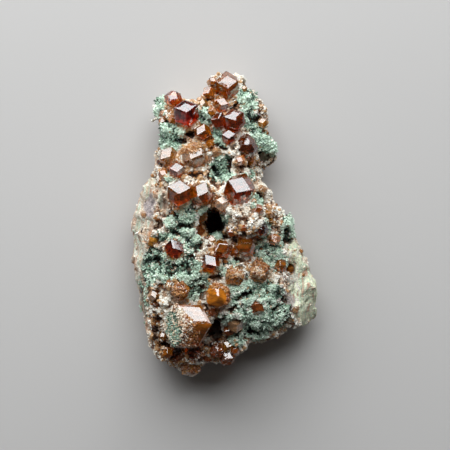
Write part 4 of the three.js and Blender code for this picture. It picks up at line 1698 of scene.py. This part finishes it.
@dataclass(frozen=True)
class Overgrowth:
    """Grains that cover part of a large garnet."""

    name: str
    node: str
    grain: Grain
    finish: GrainFinish
    count: int
    seed: int
    bright: float  # tone of the middle grains
    outline: tuple[Pair, ...]  # the covered part, as seen from above
    lowest_rise: float = -0.2  # faces whose normal rises less than this stay bare
    ragged: Pair = (1.4, 0.5)  # width and depth of the outline's bends
    patchiness: Pair = (1.6, 0.35)  # width and strength of the lighter patches
    own_tone: float = 0.25  # how far each grain's tone strays

    def build(self) -> Piece:
        """Grows the grains.

        Returns:
            The dressed piece.
        """
        random = np.random.default_rng(self.seed)
        seats = Seats.scatter(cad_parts[self.node].data, self.count * TRIES, random)
        width, depth = self.ragged
        bends = [rough_noise(seats.points, width, self.seed + n, 2) for n in range(2)]
        inside = self.within(seats.points[:, :2] - SHIFT[:2] + depth * np.stack(bends, axis=1))
        seats = seats.keep(inside & (seats.normals[:, 2] > self.lowest_rise))
        seats = seats.keep(np.arange(len(seats.points)) < self.count)
        width, strength = self.patchiness
        patchy = strength * rough_noise(seats.points, width, self.seed + 3, 2)
        tone = self.bright + patchy + random.uniform(-self.own_tone, self.own_tone, len(patchy))
        piece = add_object(self.name, self.grain.mesh(self.name, seats, random, np.clip(tone, 0, 1)))
        dress(piece, self.finish.material())
        return piece

    def within(self, places: np.ndarray) -> np.ndarray:
        """Tells which places lie inside the outline.

        Args:
            places: the places as seen from above, one row each.

        Returns:
            True or False for each place.
        """
        inside = np.zeros(len(places), dtype=bool)
        ends = self.outline[1:] + self.outline[:1]
        for (x0, y0), (x1, y1) in zip(self.outline, ends):
            if y0 == y1:
                continue
            crosses = (places[:, 1] > min(y0, y1)) & (places[:, 1] <= max(y0, y1))
            meets = x0 + (places[:, 1] - y0) * (x1 - x0) / (y1 - y0)
            inside ^= crosses & (places[:, 0] < meets)
        return inside


FINE_GRAIN = Grain(Form.BLOCK, (0.30, 0.75), (0.7, 1.2), 0.9, 0.0, wonky=0.11)
FINE_GARNET = Grain(Form.GARNET, (0.5, 1.1), (0.8, 1.1), 0.9, 0.05, wonky=0.05)
FINE_NEEDLE = Grain(Form.PRISM, (0.25, 0.55), (0.9, 1.6), 0.6, 0.25)
PALE = (FINE_GRAIN, PALE_GROSSULAR)
RUSTY = (FINE_GRAIN, BROWN_GROSSULAR)
GARNETS = (FINE_GARNET, BROWN_GROSSULAR)
GREEN = (FINE_NEEDLE, DIOPSIDE)

OVERGROWTHS = (
    Overgrowth(
        "great_block_pale_rind", "garnet_great_block", *PALE, 1900, 201, 0.62,
        ((-16.5, -18.5), (-11.8, -19.3), (-10.3, -20.9), (-8.2, -23.0), (-8.0, -25.6),
         (-9.4, -28.2), (-9.8, -34.0), (-16.5, -34.0)),
    ),
    Overgrowth(
        "great_block_brown_grains", "garnet_great_block", *GARNETS, 420, 204, 0.5,
        ((-9.8, -21.8), (-7.6, -23.6), (-6.2, -25.6), (-6.8, -28.6), (-7.6, -34.0),
         (-13.6, -34.0), (-11.6, -29.4), (-10.2, -26.4)),
    ),
    Overgrowth(
        "great_block_green_druse", "garnet_great_block", *GREEN, 1100, 202, 0.38,
        ((-14.2, -21.2), (-12.2, -21.6), (-10.8, -24.4), (-10.6, -28.2), (-12.6, -30.0),
         (-14.4, -26.6)),
    ),
    Overgrowth(
        "tip_grains", "garnet_smoky_tip", *GARNETS, 150, 207, 0.5,
        ((-11.2, -32.4), (-5.6, -32.4), (-5.6, -36.0), (-8.0, -37.0), (-11.2, -36.4)),
    ),
    Overgrowth(
        "round_brown_granules", "garnet_round_brown", *GARNETS, 130, 208, 0.6,
        ((-13.0, -14.0), (-10.4, -13.6), (-9.6, -16.0), (-10.8, -18.8), (-13.0, -18.8)),
    ),
    Overgrowth(
        "rosette_petals", "garnet_rosette", *GARNETS, 190, 205, 0.66,
        ((5.2, -8.6), (11.4, -8.6), (11.4, -14.8), (5.2, -14.8)),
    ),
    Overgrowth(
        "rosette_pale_heart", "garnet_rosette", *PALE, 170, 209, 0.6,
        ((6.9, -10.6), (9.0, -10.4), (9.6, -11.8), (8.8, -13.2), (7.2, -13.0), (6.6, -11.8)),
    ),
    Overgrowth(
        "etched_pair_granules", "garnet_etched_pair", *GARNETS, 90, 206, 0.66,
        ((0.0, -10.6), (5.0, -10.6), (5.0, -13.4), (2.6, -12.6), (0.0, -14.0)),
    ),
    Overgrowth(
        "etched_pair_pale_grains", "garnet_etched_pair", *PALE, 110, 210, 0.62,
        ((1.8, -11.0), (4.6, -11.0), (4.8, -13.6), (3.4, -13.2), (2.2, -12.4)),
    ),
    Overgrowth(
        "amber_block_granules", "garnet_amber_block", *GARNETS, 110, 211, 0.7,
        ((-5.4, -13.8), (1.4, -13.8), (1.4, -20.0), (0.2, -20.0), (-0.2, -15.8), (-5.4, -15.0)),
    ),
    Overgrowth(
        "frosted_crown_granules", "garnet_frosted_crown", *RUSTY, 420, 203, 0.85,
        ((-11.0, 19.6), (-11.0, 17.6), (-8.2, 17.8), (-6.4, 18.3), (-5.4, 20.2), (-8.0, 21.4)),
    ),
)


@dataclass(frozen=True)
class SmallGarnet:
    """Where one small garnet sits on the specimen's face, its half-width and its colour."""

    x: float
    y: float
    reach: float
    hue: Hue = Hue.ORANGE


O, R, A, W = Hue.ORANGE, Hue.RED_BROWN, Hue.AMBER, Hue.PALE

SMALL_GARNETS = tuple(
    SmallGarnet(*row)
    for row in (
        # narrow end
        (0.5, 36.9, 1.1, O), (-3.0, 35.5, 1.1, O), (-5.8, 31.4, 0.8, W), (-5.4, 29.8, 1.3, A),
        (-1.8, 30.0, 1.3, O), (-3.5, 27.9, 1.2, O), (-13.2, 30.1, 1.2, O), (-15.4, 27.4, 1.1, O),
        (-12.9, 25.8, 1.3, O), (-15.4, 25.8, 0.9, O), (4.6, 33.8, 0.8, A), (9.2, 25.2, 1.3, A),
        (9.9, 22.8, 0.9, A), (-9.8, 24.6, 1.0, A), (-4.2, 22.0, 1.2, O), (-3.8, 20.0, 1.2, O),
        # the rows of the middle
        (-2.2, 18.2, 1.3, W), (3.6, 15.8, 1.3, O), (6.6, 15.7, 1.2, O), (5.2, 11.2, 0.8, O),
        (-15.2, 12.7, 1.3, O), (-11.0, 13.2, 0.9, O), (-8.0, 9.8, 0.9, W), (6.8, 7.9, 1.0, O),
        (4.4, 7.6, 0.8, R), (-0.9, 5.6, 1.1, A), (8.0, 4.0, 1.3, R), (10.8, 2.7, 1.1, A),
        (11.4, 0.8, 0.9, A), (-20.1, 2.6, 0.8, W), (-17.8, -3.9, 1.3, A), (9.4, 8.8, 1.1, W),
        (1.6, -2.0, 1.2, R), (4.6, -0.6, 1.0, R), (-3.2, -4.0, 1.2, A), (2.2, -6.8, 1.2, R),
        (-2.4, -7.4, 1.0, R), (7.2, 5.6, 0.8, A), (-4.9, 0.6, 1.3, R), (-0.3, 3.6, 1.0, R),
        (0.6, -2.4, 0.8, A), (-3.4, -3.4, 0.9, O),
        # broad end
        (-17.5, -17.4, 1.4, A), (-17.2, -19.4, 1.0, R), (-13.2, -14.0, 1.1, O), (-18.6, -15.6, 0.8, W),
        (-15.7, -27.6, 1.2, A), (-14.2, -31.8, 1.4, O), (-9.6, -31.4, 1.2, O), (-6.9, -32.4, 1.1, R),
        (3.8, -25.0, 1.3, A), (1.0, -26.2, 1.5, R), (0.4, -29.8, 1.5, A), (-0.7, -32.6, 1.2, O),
        (2.4, -31.2, 1.2, R), (5.2, -29.0, 0.9, W), (7.2, -19.8, 0.9, R), (-3.2, -21.6, 1.2, R),
        (17.4, -20.8, 0.9, W), (16.3, -10.9, 1.1, O), (13.4, -10.9, 0.9, R), (-4.4, -33.2, 1.2, R),
        (-11.8, -33.4, 1.0, R),
    )
)


@dataclass
class SmallGarnets:
    """Small garnets between the large ones, each a dodecahedron half sunk in the rock."""

    rows: tuple[SmallGarnet, ...] = SMALL_GARNETS
    sunk: float = 0.35  # how much of the half-width lies under the surface
    size: float = 1.2  # from the middle to the farthest corner, in half-widths
    edge: float = 0.07  # width of the worn edges
    facing: float = 26.0  # degrees that one face leans from straight up towards +Y
    uneven: float = 0.22  # how far that face strays
    above: float = 60.0  # a height over every part of the rock
    rim_height: float = 9.0  # where a crystal sits that would hang past the rock's rim
    frost: float = 0.04
    clear: float = 0.6

    def build(self, rock: Piece) -> list[Piece]:
        """Makes one piece for each colour.

        Args:
            rock: the rock's piece, on which they sit.

        Returns:
            The dressed pieces.
        """
        ground = BVHTree.FromPolygons(
            [vertex.co / MM for vertex in rock.data.vertices],
            [tuple(face.vertices) for face in rock.data.polygons],
        )
        random = np.random.default_rng(SEED)
        forms = {hue: bmesh.new() for hue in dict.fromkeys(row.hue for row in self.rows)}
        for row in self.rows:
            x, y = row.x + SHIFT[0], row.y + SHIFT[1]
            spot, normal, _, _ = ground.ray_cast(Vector((x, y, self.above)), Vector((0, 0, -1)))
            if spot is None:
                spot, normal, _, _ = ground.find_nearest(Vector((x, y, self.rim_height)))
            turn = self.turn(random)
            centre = spot + normal * row.reach * (1 - 2 * self.sunk)
            self.add_crystal(forms[row.hue], turn, centre, row.reach)
        pieces = []
        for hue, form in forms.items():
            mesh = finished(form, "small_garnets")
            set_vertices(mesh, vertices_of(mesh))
            piece = add_object(f"small_garnets_{hue.name.lower()}", mesh)
            dress(piece, GarnetFinish(hue, self.frost, self.clear).material())
            pieces.append(piece)
        return pieces

    def turn(self, random: np.random.Generator) -> Matrix:
        """Picks how a crystal lies: one face nearly level, and a random spin.

        Args:
            random: the source of chance.

        Returns:
            The turn.
        """
        lean = math.radians(self.facing)
        face = Vector((1, 1, 0)).normalized()
        wanted = Vector((0, math.sin(lean), math.cos(lean)))
        wanted += Vector(random.normal(0, self.uneven, 3))
        spin = Matrix.Rotation(random.uniform(0, math.tau), 3, wanted.normalized())
        return spin @ face.rotation_difference(wanted.normalized()).to_matrix()

    def add_crystal(self, form: bmesh.types.BMesh, turn: Matrix, centre: Vector, reach: float) -> None:
        """Adds one bevelled dodecahedron.

        Args:
            form: the mesh that it joins.
            turn: which way it lies.
            centre: its middle in millimetres.
            reach: its half-width in millimetres.
        """
        corners, faces = dodecahedron()
        corners = corners / np.abs(corners).max()
        crystal = bmesh.new()
        verts = [
            crystal.verts.new((turn @ Vector(corner) * reach * self.size + centre) * MM)
            for corner in corners
        ]
        for face in faces:
            crystal.faces.new([verts[index] for index in face])
        bmesh.ops.bevel(
            crystal, geom=crystal.edges[:], offset=self.edge * MM, segments=1, affect="EDGES"
        )
        bmesh.ops.triangulate(crystal, faces=crystal.faces)
        mesh = finished(crystal, "crystal")
        form.from_mesh(mesh)
        bpy.data.meshes.remove(mesh)


# ---------------------------------------------------------------- studio


@dataclass(frozen=True)
class Softbox:
    """A rectangular lamp that faces the specimen."""

    name: str
    tilt: float  # degrees from straight up
    heading: float  # degrees from +Y towards +X
    distance: float  # metres
    width: float
    height: float
    radiance: float
    tint: Colour = (0.91, 0.975, 1.0)

    def build(self, target: Vector) -> None:
        """Hangs the lamp.

        Args:
            target: the place that it faces.
        """
        lamp = bpy.data.lights.new(self.name, "AREA")
        lamp.shape = "RECTANGLE"
        lamp.size, lamp.size_y = self.width, self.height
        lamp.energy = self.radiance * math.pi * self.width * self.height
        lamp.color = self.tint
        tilt, heading = math.radians(self.tilt), math.radians(self.heading)
        way = Vector(
            (math.sin(tilt) * math.sin(heading), math.sin(tilt) * math.cos(heading), math.cos(tilt))
        )
        piece = bpy.data.objects.new(self.name, lamp)
        piece.location = target + way * self.distance
        piece.rotation_euler = way.to_track_quat("Z", "Y").to_euler()
        bpy.context.scene.collection.objects.link(piece)


@dataclass
class Studio:
    """The pale floor, the soft lights and the camera that looks straight down."""

    frame_width: float = 112.5  # millimetres across the picture, at the height below
    frame_height: float = 8.0
    camera_distance: float = 900.0
    sensor: float = 36.0
    sight: Pair = (0.01, 10.0)  # metres; the nearest and farthest things in view
    floor_size: float = 4.0  # metres
    floor_colour: Numbers = (0.53, 0.495, 0.48, 1)
    floor_roughness: float = 0.9
    sky: float = 0.03  # strength of the even light
    lamps: tuple[Softbox, ...] = (
        Softbox("key", 52, 0, 0.55, 0.56, 0.68, 5.1),
        Softbox("left_key", 62, -46, 0.55, 0.24, 0.30, 4.8),
        Softbox("low_key", 80, 34, 0.55, 0.26, 0.13, 3.0),
        Softbox("left_fill", 66, -105, 0.7, 0.45, 0.35, 0.3),
    )

    def build(self) -> None:
        """Sets up the floor, the sky, the lamps and the camera."""
        target = Vector(SHIFT * MM) + Vector((0, 0, self.frame_height * MM))
        self.add_floor()
        self.add_sky()
        for lamp in self.lamps:
            lamp.build(target)
        camera = bpy.data.cameras.new("camera")
        camera.sensor_width = self.sensor
        camera.lens = self.sensor * self.camera_distance / self.frame_width
        camera.clip_start, camera.clip_end = self.sight
        piece = bpy.data.objects.new("camera", camera)
        piece.location = target + Vector((0, 0, self.camera_distance * MM))
        bpy.context.scene.collection.objects.link(piece)
        bpy.context.scene.camera = piece
        bpy.context.scene.view_settings.view_transform = "Standard"

    def add_floor(self) -> None:
        """Lays the plain pale floor."""
        form = bmesh.new()
        bmesh.ops.create_grid(form, x_segments=1, y_segments=1, size=self.floor_size / 2)
        mesh = finished(form, "floor")
        floor = add_object("floor", mesh)
        floor.location.z = -BOX_MARGIN * MM
        shader = Shader("floor")
        shader.values(Base_Color=self.floor_colour, Roughness=self.floor_roughness)
        mesh.materials.append(shader.material)

    def add_sky(self) -> None:
        """Fills the surroundings with faint, even light."""
        world = bpy.data.worlds.new("sky")
        world.use_nodes = True
        backdrop = world.node_tree.nodes["Background"]
        backdrop.inputs["Color"].default_value = (1, 1, 1, 1)
        backdrop.inputs["Strength"].default_value = self.sky
        bpy.context.scene.world = world


def main() -> None:
    """Builds the specimen and the studio, and logs each piece's number of triangles."""
    logging.basicConfig(level=logging.INFO, format="%(message)s")
    Studio().build()
    guard = CrystalGuard()
    minerals = MineralMap()
    rock = MatrixRock(guard, minerals).build()
    report(rock)
    for crust in CRUSTS:
        report(crust.build(rock, guard, minerals))
    for overgrowth in OVERGROWTHS:
        report(overgrowth.build())
    for piece in LargeGarnets().build() + SmallGarnets().build(rock):
        report(piece)


if __name__ == "__main__":
    main()
